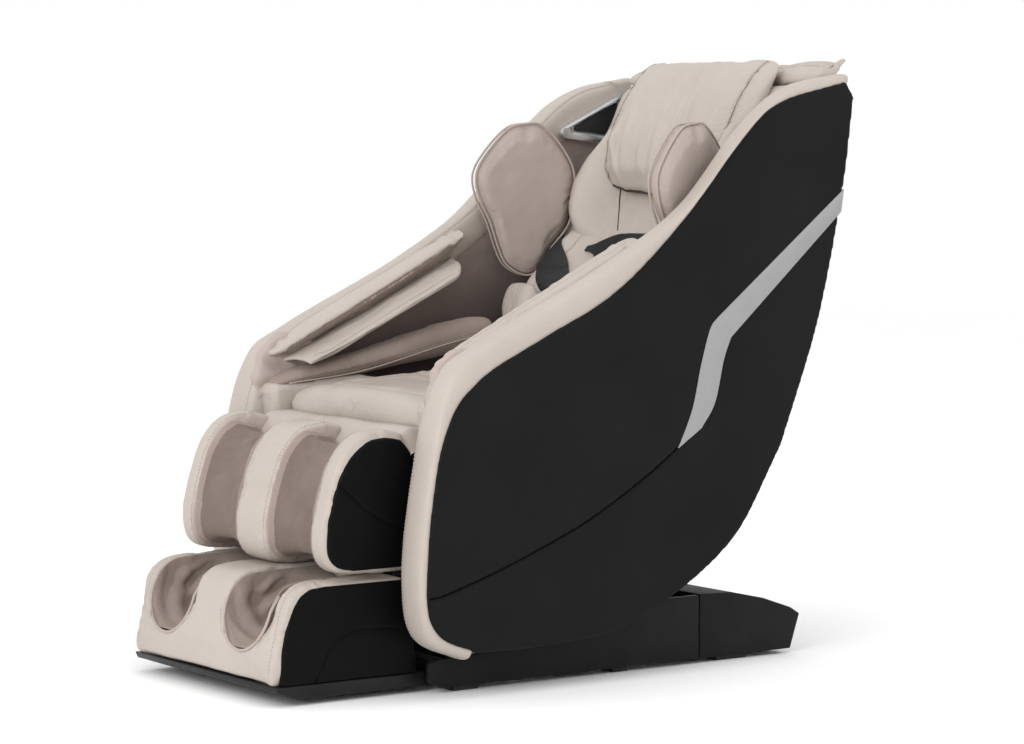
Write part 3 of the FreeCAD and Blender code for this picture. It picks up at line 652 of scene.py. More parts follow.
# ---- shell outlines, as (Y, Z) ---------------------------------------------------------------
PANEL_FRONT = [(-284, 82), (-372, 124), (-396, 216), (-365, 456), (-291, 573), (-138, 653),
               (20, 728), (174, 852), (343, 1030), (430, 1090), (585, 1127)]
PANEL_REAR = [(606, 1098), (579, 917), (520, 668), (428, 425)]
PANEL_BELLY = [(428, 425), (300, 243), (82, 114), (-103, 84), (-284, 82)]
LINER_FRONT = [(-300, 66), (-388, 110), (-411, 215), (-391, 400), (-343, 584), (-246, 653),
               (3, 771), (197, 886), (340, 1035), (454, 1115), (600, 1145)]
LINER_REAR = [(600, 1145), (594, 1098), (567, 917), (508, 668), (416, 430)]
LINER_BELLY = [(416, 430), (290, 252), (82, 124), (-103, 94), (-300, 66)]
CREASE = [(-390, 190), (-351, 196), (-223, 236), (-50, 303), (93, 380), (173, 433)]
STRIP_FRONT = [(173, 433), (207, 507), (227, 588), (249, 657), (268, 679)]
STRIP_TOP = [(268, 679), (580, 919), (573, 875), (300, 640)]
STRIP_REAR = [(300, 640), (282, 597), (261, 516), (228, 468)]


def joined(*lines):
    """One closed outline from smooth lines that meet end to end."""
    out = []
    for ln in lines:
        out += [tuple(p) for p in ln][:-1]
    return np.array(out)


def at_x(line, x):
    return np.array([(x, y, z) for y, z in line])


def cushion(name, outline, x0, x1, edge, size=5.0, rim=0.3, rise=0.0, pressure=0.0, cap=10.0, soften=2):
    """Stuffed piece over an outline: voxel mesh, crowned edges and, with pressure, an inflated cloth skin."""
    obj = slab(name, outline, x0, x1)
    remesh(obj, size)
    crown(obj, outline, x0, x1, edge, rim, rise)
    if soften:
        smooth(obj, soften, 0.5)
    if pressure:
        swell(obj, pressure, cap)
    return obj


def finish_soft(obj):
    return shade(subdivide(obj))


# ---- side panels and trim ---------------------------------------------------------------------
def side_panels():
    """Black outer panels with their curved crease, and the silver strips let into them."""
    outline = joined(catmull(PANEL_FRONT, step=9), [PANEL_FRONT[-1], PANEL_REAR[0]],
                     catmull(PANEL_REAR, step=9), catmull(PANEL_BELLY, step=9))
    obj = cushion("panel", outline, *PANEL_X, 7, rim=0.72, soften=1)
    co = coords(obj)
    strip = joined(catmull(STRIP_FRONT, step=8), STRIP_TOP, catmull(STRIP_REAR, step=8),
                   [STRIP_REAR[-1], STRIP_FRONT[0]])
    fold = catmull(CREASE, step=8)
    d = segment_distance(co[:, 1:], fold)
    above = co[:, 2] > np.interp(co[:, 1], fold[:, 0], fold[:, 1])
    outer = co[:, 0] > 365
    dip = 3.0 * np.exp(-(d / 4.5) ** 2) + np.where(above, 0.0, 3.2 * np.exp(-d / 34.0))
    co[:, 0] -= np.where(outer, dip, 0)
    ds = segment_distance(co[:, 1:], strip, closed=True)
    co[:, 0] -= np.where(outer, 1.6 * np.exp(-(ds / 4.0) ** 2), 0)
    set_coords(obj, co)
    ripple(obj, 0.5, 11, 260)
    finish_soft(obj)
    both(obj, "side_panel_cover", "black", "seat", (["side_panel_left"], ["side_panel_right"]))
    # black cord lying in the crease groove: painted shade darkening the crease line
    piping_and_shadow_cord("side_panel_crease_welt", at_x(CREASE, 377.2), "crease_shadow_black", "seat", 1.5)
    trim = slab("trim", strip, 374, 381.0)
    bevel(trim, 1.4, 50)
    shade(trim, 50)
    both(trim, "trim_strip_polished", "silver", "seat", (["trim_strips"], []))


def armour():
    """Padded light rim round the shell, with the inner walls behind it."""
    path = np.vstack([catmull(LINER_FRONT, step=9), [(600, 1139), (598, 1120), (594, 1098)]])
    path = resample(path, step=9)
    n = len(path)
    t = directions(path)
    inward = np.column_stack([t[:, 1], -t[:, 0]])
    upper = smoothstep(path[:, 1], 640, 900)
    panel = catmull(PANEL_FRONT, step=8)
    gap = np.minimum(segment_distance(path, panel), 60)
    rows = []
    for i in range(n):
        inner = 290 + 16 * smoothstep(path[i, 1], 480, 640) + 16 * upper[i]
        g = gap[i]
        mid = 345
        side = [(352, g + 30), (365, g + 12), (373, g + 3), (375.5, g - 1), (375, max(g * 0.55, 3)),
                (371, max(g * 0.28, 1.5)), (362, max(g * 0.10, 0.5)), (mid, 0)]
        inside = [(325, 0.5), (312, 3), (302, 8), (295, 15), (291, 24), (290, 36), (291, 48), (295, 58),
                  (303, 66), (315, 70), (328, 72)]
        row = side + [(mid - (mid - x) * (mid - inner) / (mid - 290), off) for x, off in inside]
        rows.append([(x, path[i, 0] + inward[i, 0] * off, path[i, 1] + inward[i, 1] * off) for x, off in row])
    obj = loft("rim", rows, close_rows=True, caps=True)
    subdivide(obj)
    ripple(obj, 0.9, 5, 120)
    inner_line = [(304 + 20 * upper[i], *(path[i] + inward[i] * 7)) for i in range(6, n - 4)]
    seam(obj, inner_line[::3], "seat", 1.8, 1.4, stitches=(3.5,))
    shade(obj)
    shell = joined(*[catmull(line, step=14) for line in (LINER_FRONT, LINER_REAR, LINER_BELLY)])
    wall = cushion("wall", shrink(shell, 6), 329, 352, 10, size=8, rim=0.6, soften=1)
    ripple(wall, 1.2, 8, 160)
    top = [(96, 700), (196, 760), (330, 850), (470, 980), (560, 1080)]
    seam(wall, at_x(top, 329), "seat", 3, 2.2, stitches=(5.0,))
    ledge = np.array([(-336, 452), (-340, 520), (-334, 538), (-240, 540), (-130, 548), (-90, 540),
                      (-130, 500), (-240, 470), (-250, 452)])
    shelf = cushion("shelf", ledge, 247, 332, 12, rim=0.6)
    ripple(shelf, 1.2, 9, 60)
    seam(shelf, [(262, -338, 512), (300, -338, 512)], "seat", 2, 1.5, stitches=(3.5,))
    seam(shelf, [(258, -320, 538), (256, -200, 542), (256, -120, 546)], "seat", 2, 1.5, stitches=(4.0,))
    fold = [(-352, 500), (-348, 560), (-318, 618), (-250, 640), (-200, 600), (-190, 560), (-250, 535),
            (-310, 520)]
    pocket = cushion("pocket", catmull(fold, closed=True, step=8), 293, 322, 16, rim=0.5)
    co = coords(pocket)
    fan = np.arctan2(co[:, 2] - 520, co[:, 1] + 190)
    lift = 3.0 * np.sin(fan * 22 + 0.02 * co[:, 1]) * smoothstep(co[:, 1], -190, -260)
    push(pocket, lift)
    ripple(pocket, 2.0, 14, 50)
    both(finish_soft(pocket), "arm_front_pocket", "mid", "seat")
    finish_soft(wall)
    both(obj, "armour_rim", "light", "seat", (["arm_liner_left"], ["arm_liner_right"]))
    both(wall, "armour_inner_wall", "wall", "seat")
    both(finish_soft(shelf), "seat_side_filler", "light", "seat")


def shrink(outline, d):
    """Closed outline moved inwards by d."""
    p = np.asarray(outline, float)
    t = np.roll(p, -1, 0) - np.roll(p, 1, 0)
    t /= np.linalg.norm(t, axis=1)[:, None]
    nrm = np.column_stack([t[:, 1], -t[:, 0]])
    area = 0.5 * np.sum(p[:, 0] * np.roll(p[:, 1], -1) - np.roll(p[:, 0], -1) * p[:, 1])
    return p + nrm * (-d if area > 0 else d)


def filleted(poly, radius, n=8):
    """Polygon with its corners rounded by arcs."""
    p = [Vector(q) for q in poly]
    out = []
    for i, b in enumerate(p):
        a, c = p[i - 1], p[(i + 1) % len(p)]
        u, v = (a - b).normalized(), (c - b).normalized()
        half = math.acos(max(-1, min(1, u.dot(v)))) / 2
        reach = radius / math.tan(half)
        centre = b + (u + v).normalized() * (radius / math.sin(half))
        s, e = b + u * reach - centre, b + v * reach - centre
        a0, a1 = math.atan2(s.y, s.x), math.atan2(e.y, e.x)
        turn = (a1 - a0 + math.pi) % (2 * math.pi) - math.pi
        for k in range(n + 1):
            at = a0 + turn * k / n
            out.append((centre.x + radius * math.cos(at), centre.y + radius * math.sin(at)))
    return np.array(out)


def speakers():
    """Three-cornered satin bezel and black mesh near the top of each inner wall."""
    tri = [(374, 1022), (576, 1116), (560, 1000)]
    cy, cz = np.mean(tri, axis=0)

    def ring(scale, r, shift=0.0):
        y0, z0 = cy + shift, cz + shift * 0.5
        return filleted([(y0 + (y - cy) * scale, z0 + (z - cz) * scale) for y, z in tri], r)
    section = ((332, 1.07, 13), (316, 1.07, 13), (310, 1.03, 12), (308, 0.90, 9), (313, 0.74, 7, 5),
               (321, 0.63, 5, 6), (331, 0.62, 5, 6))
    bezel = shade(loft("bezel", [at_x(ring(*shape), x) for x, *shape in section], close_rows=True), 45)
    both(bezel, "speaker_bezel_satin", "bezel", "seat", (["speaker_bezels"], []))
    grille = cushion("grille", ring(0.64, 5, 6), 321, 331, 6, size=3, rim=0.75)
    both(finish_soft(grille), "speaker_mesh_panel", "mesh", "seat", (["speaker_grilles"], []))


# ---- arm pads ----------------------------------------------------------------------------------
# rim beside the pads, inner edge of the bolster, where bolster and flap meet, inner edge of the flap
ARM_CREST = [(-343, 584), (-246, 653), (3, 771), (130, 846), (150, 858)]
ARM_RIDGE = [(-321, 599), (-119, 701), (88, 806), (134, 826)]
ARM_ROOT = [(-309, 578), (-286, 588), (-90, 677), (96, 766), (134, 800)]
FLAP_EDGE = [(-300, 566), (-262, 575), (-204, 592), (100, 736), (112, 742)]


def height_at(line, y):
    return float(np.interp(y, [q[0] for q in line], [q[1] for q in line]))


def arm_pads():
    """Bolster under the rim, board flap below it and armrest pad, on both sides."""
    rows = []
    for y in np.linspace(-324, 134, 110):
        top, ridge, root = (height_at(k, y) for k in (ARM_CREST, ARM_RIDGE, ARM_ROOT))
        top -= 1 + 11 * float(smoothstep(y, 10, 110))
        section = catmull([(318, top - 4), (290, (top + ridge) / 2 + 4), (267, ridge + 2), (260, ridge - 4),
                           (266, ridge - 12), (284, 0.42 * ridge + 0.58 * root), (300, root + 3),
                           (314, root + 8), (323, (root + top) / 2)], closed=True, n=48)
        ends = min(1.0, (y + 326) / 60, (137 - y) / 26)
        f = math.sqrt(max(0.03, 1 - (1 - ends) ** 2))
        centre = np.array([306, (top + root) / 2 + 4])
        section = centre + (section - centre) * (0.22 + 0.78 * f)
        rows.append([(x, y, z) for x, z in section])
    b = loft("bolster", rows, close_rows=True, caps=True)
    swell(b, 1.5, 3)
    ripple(b, 1.6, 21, 55, stretch=(1, 0.7, 1))
    co = coords(b)
    around = np.arange(len(co)) % 48
    under = (around >= 20) & (around < 36)
    ribs = 1.0 * np.sin((co[:, 1] + 0.45 * co[:, 2]) / 1.6) * under
    pucker = 2.4 * np.sin(np.arctan2(co[:, 2] - 812, co[:, 1] - 112) * 9) * smoothstep(co[:, 1], 70, 120)
    push(b, ribs + pucker)
    wrinkle(b, [(316, -290, 620), (285, -300, 612), (262, -305, 600)], 7, 3.0)
    wrinkle(b, [(312, 84, 818), (285, 92, 812), (264, 98, 800)], 7, 3.0)
    seam(b, [(300, y, height_at(ARM_CREST, y) - 2) for y in (-296, -200, -100, 0, 100)], "seat", 1.8, 1.8,
         stitches=(3.5,))
    finish_soft(b)
    two_tone(b, "taupe_light", lambda c, no: (no[:, 2] < -0.20) & (c[:, 1] < 116) & (c[:, 1] > -300))
    both(b, "arm_bolster_cover", "light", "seat", (["arm_bolsters"], []))
    rows = []
    for t in np.linspace(0, 1, 30):
        y0 = -300 + 42 * t
        y1 = 112 - 26 * (1 - math.sqrt(max(0.0, 1 - (max(0.0, t - 0.6) / 0.4) ** 2)))
        top, under = [], []
        for y in np.linspace(y0, y1, 100):
            root, edge = height_at(ARM_ROOT, y) - 4, height_at(FLAP_EDGE, y)
            near = min(t * 70, (1 - t) * 70, y - y0, y1 - y)
            h = 2.2 + 4.6 * math.sqrt(1 - (1 - min(1.0, near / 15)) ** 2)
            x, z = 304 - 66 * t, root + (edge - root) * t + 7 * math.sin(math.pi * t)
            top.append((x, y, z + h))
            under.append((x + 0.4 * h, y, z - h))
        rows.append(top + under[::-1])
    f = loft("flap", rows, close_rows=True, caps=True)
    swell(f, 1.5, 3)
    ripple(f, 1.2, 22, 80)
    seam(f, [(246, y, height_at(FLAP_EDGE, y) + 12) for y in (-246, -204, -50, 90)], "seat", 1.8, 1.5,
         stitches=(3.5,))
    finish_soft(f)
    # downward faces of the flap take the darker mid leather: painted shade on its underside
    two_tone(f, "mid", lambda c, no: no[:, 2] < -0.45)
    both(f, "arm_flap_cover", "light", "seat", (["arm_flaps"], []))
    rest = [(-330, 536), (-300, 556), (-134, 584), (150, 650), (192, 628), (180, 604), (151, 592),
            (-195, 544), (-300, 532)]
    r = cushion("rest", catmull(rest, closed=True, step=6), 247, 329, 20, rim=0.4, pressure=2.5, cap=5)
    ripple(r, 1.2, 23, 70)
    wrinkle(r, [(300, 60, 632), (260, 110, 630)], 6, 1.6)
    seam(r, [(250, -300, 541), (249, -134, 562), (249, 60, 606), (251, 150, 622)], "seat", 1.8, 1.6,
         stitches=(3.5,))
    both(finish_soft(r), "armrest_pad_cover", "taupe_light", "seat", (["armrest_pads"], []))
    beige = [(247.5, -305, 538), (246, -134, 556), (246, 60, 600), (248, 150, 616), (256, 178, 622)]
    piping_and_shadow_cord("armrest_piping", beige, "light", "seat", 1.1)


# ---- seat ----------------------------------------------------------------------------------------
def seat():
    """Front roll, top pad, and the apron that hangs from the seat to the calf rest."""
    roll = [(-252, 468), (-290, 467), (-316, 479), (-321, 502), (-304, 529), (-270, 538), (-240, 533),
            (-232, 500)]
    obj = cushion("roll", catmull(roll, closed=True, step=6), -246, 246, 26, rim=0.62, pressure=4.0, cap=8)
    co = coords(obj)
    around = np.arctan2(co[:, 2] - 503, co[:, 1] + 274)
    gather = 1.7 * np.cos(around * 26) * smoothstep(np.abs(co[:, 0]), 205, 240)
    push(obj, gather)
    ripple(obj, 1.5, 31, 90)
    seam(obj, [(x, -306, 484) for x in (-236, -120, 0, 120, 236)], "seat", 2, 1.8, stitches=(4.0,))
    piece(finish_soft(obj), "light", "seat", ["seat_cushion"]).name = "seat_front_roll"
    plan = filleted([(-240, -262), (240, -262), (240, 196), (-240, 196)], 26)
    pad = cushion("pad", plan, 474, 529, 34, size=6, rim=0.5, pressure=5.0, cap=12)
    set_coords(pad, coords(pad)[:, [1, 2, 0]])
    outward(pad)
    co = coords(pad)
    co[:, 2] += (smoothstep(co[:, 1], -250, 60) * 15 - smoothstep(co[:, 1], 90, 200) * 26) * (co[:, 2] > 500)
    co[:, 2] += 5 * smoothstep(np.abs(co[:, 0]), 150, 225) * (co[:, 2] > 500)
    co[:, 2] -= 8 * np.exp(-(co[:, 0] / 140) ** 2 - ((co[:, 1] + 20) / 150) ** 2) * (co[:, 2] > 500)
    set_coords(pad, co)
    wrinkle(pad, [(-170, -60, 520), (-60, -75, 522), (60, -70, 522), (170, -50, 520)], 9, 2.4)
    wrinkle(pad, [(-150, 40, 515), (-20, 60, 515), (140, 45, 515)], 10, 2.2)
    for k in range(7):
        x = -225 + 16 * (k % 3)
        y = -40 + 24 * k
        for s, height in ((1, 4.2), (-1, 4.0)):
            fold = [(x, y, 545), (x + 40, y + 12, 545), (x + 96, y + 4, 540)]
            wrinkle(pad, [(s * a, b, c) for a, b, c in fold], 5, height)
    ripple(pad, 2.0, 32, 150)
    for s in (-1, 1):
        seam(pad, [(s * 176, -250, 530), (s * 172, -60, 525), (s * 168, 180, 510)], "seat", 3, 4.0,
             stitches=(-5.0, 5.0))
    seam(pad, [(x, 96, 516) for x in (-165, -80, 0, 80, 165)], "seat", 3, 3.5, stitches=(5.0,))
    piece(finish_soft(pad), "light", "seat").name = "seat_top_pad"
    path = catmull([(-286, 496), (-304, 487), (-326, 487), (-346, 488), (-362, 481), (-378, 468), (-392, 452),
                    (-402, 434)], step=4)
    rows = []
    for y, z in path:
        rows.append([(x, y, z + 0.9 * math.sin(x / 29 + y / 11) - 44 * float(smoothstep(abs(x), 240, 264)))
                     for x in np.linspace(-264, 264, 120)])
    apron = loft("apron", rows)
    thicken(apron, 2)
    wear(finish_soft(apron), "light")
    apron.name = "seat_apron"
    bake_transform(apron)


def wrinkle(obj, points, width, height):
    """Raised soft fold along a line, with a shallow valley beside it."""
    d = segment_distance(coords(obj), on_surface(obj, catmull(points, step=6)))
    lift = height * (np.exp(-(d / width) ** 2) - 0.55 * np.exp(-((d - 2 * width) / width) ** 2))
    return push(obj, lift)


# ---- backrest ----------------------------------------------------------------------------------
def lean(pairs):
    return [back(u, w) for u, w in pairs]


def on_back(x, u, w):
    y, z = back(u, w)
    return (x, y, z)


def drape(objs, grid, lift=1.5):
    """Rows of points laid on the backrest's soft pieces, seen from in front of them."""
    trees = [surface_tree(o) for o in objs]
    down = Vector((0, CL, -SL))
    rows = []
    for line in grid:
        row = []
        for x, u in line:
            start = Vector(on_back(x, u, -150)) / 1000
            hits = [t.ray_cast(start, down, 0.3) for t in trees]
            far = [h[3] for h in hits if h[0] is not None]
            w = -150 + min(far) * 1000 - lift if far else -6
            row.append((x, u, w))
        rows.append(row)
    rows = np.array(rows)
    w = rows[:, :, 2]
    for _ in range(4):
        pad = np.pad(w, 1, mode="edge")
        soft = (pad[:-2, 1:-1] + pad[2:, 1:-1] + pad[1:-1, :-2] + pad[1:-1, 2:]) / 4
        w = np.minimum(w, soft)
    return [[on_back(x, u, ww) for (x, u, _), ww in zip(r, wr)] for r, wr in zip(rows, w)]


def backrest():
    """Centre pad, wings, hip bolsters, lumbar panel, straps and waist arch, all leaning with the backrest."""
    soft = []
    front = filleted([(-292, 12), (292, 12), (292, 712), (-292, 712)], 30)
    pad = cushion("back_pad", front, -4, 22, 24, size=7, rim=0.4, pressure=3.0, cap=6)
    co = coords(pad)
    set_coords(pad, np.column_stack([co[:, 1], *back(co[:, 2], 18 - co[:, 0])]))
    outward(pad)
    ripple(pad, 1.6, 41, 110)
    for s in (-1, 1):
        seam(pad, [on_back(s * 112, u, 0) for u in (350, 420, 520, 620, 700)], "backrest", 3, 3.0,
             stitches=(5.0,))
    piece(finish_soft(pad), "light", "backrest", ["back_cushion"]).name = "back_centre_pad"

    head = [(318, 12), (330, -6), (352, -34), (378, -54), (420, -62), (520, -60), (600, -48), (664, -16),
            (676, 12)]
    w = cushion("head_wing", catmull(lean(head), closed=True, step=6), 104, 234, 20, rim=0.6, pressure=2.5,
                cap=5)
    co = coords(w)
    u, v = from_back(co)
    v = np.where(v < 12, 12 - (12 - v) * (0.16 + 0.84 * smoothstep(co[:, 0], 112, 214)), v)
    outer = np.interp(u, [309, 379, 449, 495, 554, 640], [186, 222, 245, 238, 214, 196])
    x = 104 + (co[:, 0] - 104) * (outer - 104) / 130
    set_coords(w, np.column_stack([x, *back(u, v)]))
    ripple(w, 1.4, 45, 100)
    edge = ((334, -8), (352, -34), (378, -54), (420, -62), (500, -61), (600, -48))
    seam(w, [on_back(219, *p) for p in edge], "backrest", 2.2, 1.8, stitches=(4.0,))
    soft += both(finish_soft(w), "head_wing", "light", "backrest")

    upper = [(190, 6), (186, -60), (200, -88), (263, -74), (318, -54), (356, -34), (384, -10), (386, 8)]
    w = cushion("upper_wing", catmull(lean(upper), closed=True, step=6), 116, 226, 34, rim=0.45,
                pressure=4.0, cap=9)
    co = coords(w)
    u, v = from_back(co)
    slope = smoothstep(u, 210, 300) * (1 - smoothstep(co[:, 0], 112, 208))
    v = np.where(v < 12, 12 - (12 - v) * (1 - 0.7 * slope), v)
    set_coords(w, np.column_stack([co[:, 0], *back(u, v)]))
    ripple(w, 1.6, 42, 80)
    seam(w, [on_back(176, 196, -84), on_back(172, 300, -40), on_back(170, 350, -20)], "backrest", 2.4, 2.2,
         stitches=(4.5,))
    soft += both(finish_soft(w), "back_wing_upper", "light", "backrest")

    lower = [(8, 6), (-2, -22), (30, -50), (80, -72), (122, -86), (160, -100), (198, -98), (206, -60),
             (204, 6)]
    w = cushion("lower_wing", catmull(lean(lower), closed=True, step=6), 156, 262, 34, rim=0.5,
                pressure=4.0, cap=9)
    ripple(w, 1.6, 43, 80)
    seam(w, [on_back(205, 50, -48), on_back(208, 120, -80), on_back(205, 190, -98)], "backrest", 2.4, 2.4,
         stitches=(4.5,))
    soft += both(finish_soft(w), "hip_bolster", "light", "backrest")

    lumbar = filleted([(-118, 26), (118, 26), (118, 330), (64, 356), (-64, 356), (-118, 330)], 22)
    sheet = cushion("lumbar", lumbar, -1, 7, 10, rim=0.4)
    co = coords(sheet)
    set_coords(sheet, np.column_stack([co[:, 1], *back(co[:, 2], -co[:, 0])]))
    outward(sheet)
    for u in (96, 162, 228, 294):
        seam(sheet, [on_back(x, u, -7) for x in (-108, -40, 40, 108)], "backrest", 3, 1.8, stitches=())
    piece(finish_soft(sheet), "strap", "backrest", ["waist_panels"]).name = "lumbar_panel"
    grid = []
    for t in np.linspace(0, 1, 40):
        x, u = 236 - 150 * t, 318 - 148 * t
        grid.append([(x + d * 0.69, u - d * 0.72) for d in np.linspace(-29, 29, 15)])
    st = loft("strap", drape(soft, grid, 3.5))
    thicken(st, 6)
    ripple(st, 0.7, 47, 40)
    both(finish_soft(st), "wing_strap", "strap", "backrest")
    grid = []
    for x in np.linspace(-146, 146, 74):
        top = 362 - 40 * abs(x / 146) ** 3
        tall = 72 - 62 * smoothstep(abs(x), 84, 150)
        grid.append([(x, top + d) for d in np.linspace(-tall, 0, 16)])
    rows = drape(soft + [pad], grid, 3.5)
    arch = loft("arch", rows)
    thicken(arch, 7)
    ripple(arch, 0.8, 46, 50)
    piece(finish_soft(arch), "strap", "backrest").name = "waist_arch"
    # dark cord along the line between head wing and centre pad: a painted shadow line
    line = catmull([(142, 476), (130, 450), (115, 419), (99, 388), (88, 368)], step=6)
    shadow = drape(soft + [pad], [[(x, u) for x, u in line]] * 2, 0.3)[0]
    both(tube("wing_seam", shadow, 1.2, 6), "wing_seam_shadow_cord", "painted_shadow_dark", "backrest")


PILLOW = [(437, -14), (437, -46), (495, -66), (540, -75), (620, -74), (694, -61), (745, -36), (763, -12),
          (745, -6), (706, -3), (480, -3)]


def pillow():
    """Head pillow with its hanging folds, two sewn lines, and a dark cord under its lower edge that paints the
    shadow beneath it.
    """
    out = catmull(lean(PILLOW), closed=True, step=6)
    obj = cushion("pillow", out, -238, 238, 26, size=6, rim=0.7, pressure=6.0, cap=14)
    co = coords(obj)
    u, v = from_back(co)
    side = smoothstep(np.abs(co[:, 0]), 80, 240)
    v = np.where(v < 4, 4 - (4 - v) * (1 - 0.46 * side), v)
    x = co[:, 0] * 0.985
    foot = np.interp(np.abs(x), [0, 90, 140, 170, 200, 222, 234], [436, 444, 456, 472, 504, 544, 575])
    u = 763 - (763 - u) * (763 - foot) / (763 - 437)
    set_coords(obj, np.column_stack([x, *back(u, v)]))
    co = coords(obj)
    rng = np.random.default_rng(51)
    front = normals(obj)[:, 1] < 0.2
    height = np.zeros(len(co))
    for _ in range(13):
        x0 = rng.uniform(-140, 150)
        z0 = 500 + rng.uniform(500, 690) * CL
        lean_x = rng.uniform(-0.35, 0.10)
        wide = rng.uniform(6, 11)
        dx = co[:, 0] - x0 - lean_x * (co[:, 2] - z0)
        along = np.exp(-((co[:, 2] - z0) / rng.uniform(45, 95)) ** 2)
        fold = np.exp(-(dx / wide) ** 2) - 0.6 * np.exp(-((dx - 1.9 * wide) / wide) ** 2)
        height += rng.uniform(3.4, 6.2) * fold * along
    push(obj, height * front)
    ripple(obj, 2.2, 52, 130)
    crest = ((440, -46), (500, -70), (560, -78), (640, -76), (700, -60), (750, -34))
    for s in (-1, 1):
        fall = 1 - 0.46 * float(smoothstep(184, 80, 240))
        line = [on_back(s * (184 - 24 * (u < 510) - 12 * (u < 450)), u + 26 * (u < 510), 4 - (4 - w) * fall)
                for u, w in crest]
        sewn = seam(obj, line, "pillow", 2.6, 4.2, stitches=(-4.5, 4.5))
        cord = tube("pillow_cord", sewn, 1.3, 6)
        piece(cord, "taupe_light", "pillow").name = "pillow_cord_" + ("right" if s < 0 else "left")
    # painted shadow under the pillow's lower edge: a dark cord along it
    under = [on_back(x, 425 + 0.0009 * x * x, -24) for x in range(-150, 151, 30)]
    hem = resample(on_surface(obj, catmull(under, step=8)), step=8)
    piece(finish_soft(obj), "light", "pillow", ["head_pillow"]).name = "head_pillow_cover"
    piece(tube("hem", hem, 3.6, 8), "painted_shadow_dark", "pillow").name = "head_pillow_painted_shadow"


def top_flap():
    """Flap behind the pillow, with two loose ears at each end."""
    prof = [(556, 1126), (564, 1148), (584, 1160), (606, 1164), (628, 1174), (641, 1172), (650, 1158),
            (640, 1142), (622, 1128), (606, 1112), (586, 1114)]
    obj = cushion("flap_top", catmull(prof, closed=True, step=6), -308, 308, 12, size=6, rim=0.6,
                  pressure=2.0, cap=4)
    co = coords(obj)
    middle = 1 - smoothstep(np.abs(co[:, 0]), 150, 286)
    co[:, 2] -= middle * 12 * smoothstep(co[:, 2], 1120, 1170)
    co[:, 1] -= middle * 12 * smoothstep(co[:, 1], 600, 650)
    set_coords(obj, co)
    ripple(obj, 1.8, 53, 90)
    seam(obj, [(x, 606, 1160 - 12 * (abs(x) < 200)) for x in (-280, -230, -150, 0, 150, 230, 280)],
         "backrest", 2.2, 1.8, stitches=(4.0,))
    piece(finish_soft(obj), "light", "backrest", ["top_flap"]).name = "top_flap_cover"
    for k, (y0, z0, reach, up) in enumerate(((612, 1152, 60, 20), (588, 1150, 52, 14))):
        rows = []
        for t in np.linspace(0, 1, 14):
            row = []
            for a in np.linspace(0, 1, 16):
                row.append((304 - 70 * (1 - a) * (1 - t) ** 0.75 - 6 * t,
                            y0 + (reach - 24) * t + 4 * math.sin(a * 3),
                            z0 + up * t ** 1.6 + 3.0 * math.sin(a * 5 + k) * (1 - t)))
            rows.append(row)
        ear = loft("ear", rows)
        thicken(ear, 6)
        both(finish_soft(ear), f"top_flap_ear_{k}", "light", "backrest")


# ---- shoulder pads --------------------------------------------------------------------------------
SHOULDER = [(112, 1045), (73, 1036), (29, 993), (0, 945), (6, 896), (29, 848), (48, 793), (67, 757),
            (105, 736), (137, 745), (163, 787), (208, 848), (217, 939), (188, 999), (144, 1042)]


def shoulders():
    """Shoulder pads, flared outwards, with two rows of piping."""
    outline = catmull([(s - 217, z) for s, z in SHOULDER], closed=True, step=6)
    flare = math.radians(13)

    def place(co):
        x = co[:, 0] * math.cos(flare) - co[:, 1] * math.sin(flare) + 252
        y = co[:, 0] * math.sin(flare) + co[:, 1] * math.cos(flare) + 384
        return np.column_stack([x, y, co[:, 2]])
    obj = cushion("shoulder", outline, -17, 17, 22, rim=0.5, pressure=3.0, cap=5)
    ripple(obj, 1.4, 61, 110)
    inner = shrink(outline, 9)
    set_coords(obj, place(coords(obj)))
    finish_soft(obj)
    ring = place(np.array([(-15, y, z) for y, z in inner]))
    ring = np.vstack([ring, ring[:1]])
    groove(obj, on_surface(obj, ring), 2.0, 1.2)
    both(obj, "shoulder_pad_cover", "mid", ("shoulder_left", "shoulder_right"),
         (["shoulder_pad_left"], ["shoulder_pad_right"]))
    for k, x in enumerate((-11.0, 9.0)):
        rope = place(np.array([(x, y, z) for y, z in shrink(outline, -0.5)]))
        both(tube("piping", rope, 2.4, 8, closed=True), f"shoulder_piping_{k}", "mid",
             ("shoulder_left", "shoulder_right"))


# ---- calf rest --------------------------------------------------------------------------------------
CALF_FRONT = [(-410, 492), (-467, 480), (-512, 430), (-541, 344), (-546, 275), (-525, 238), (-480, 226)]


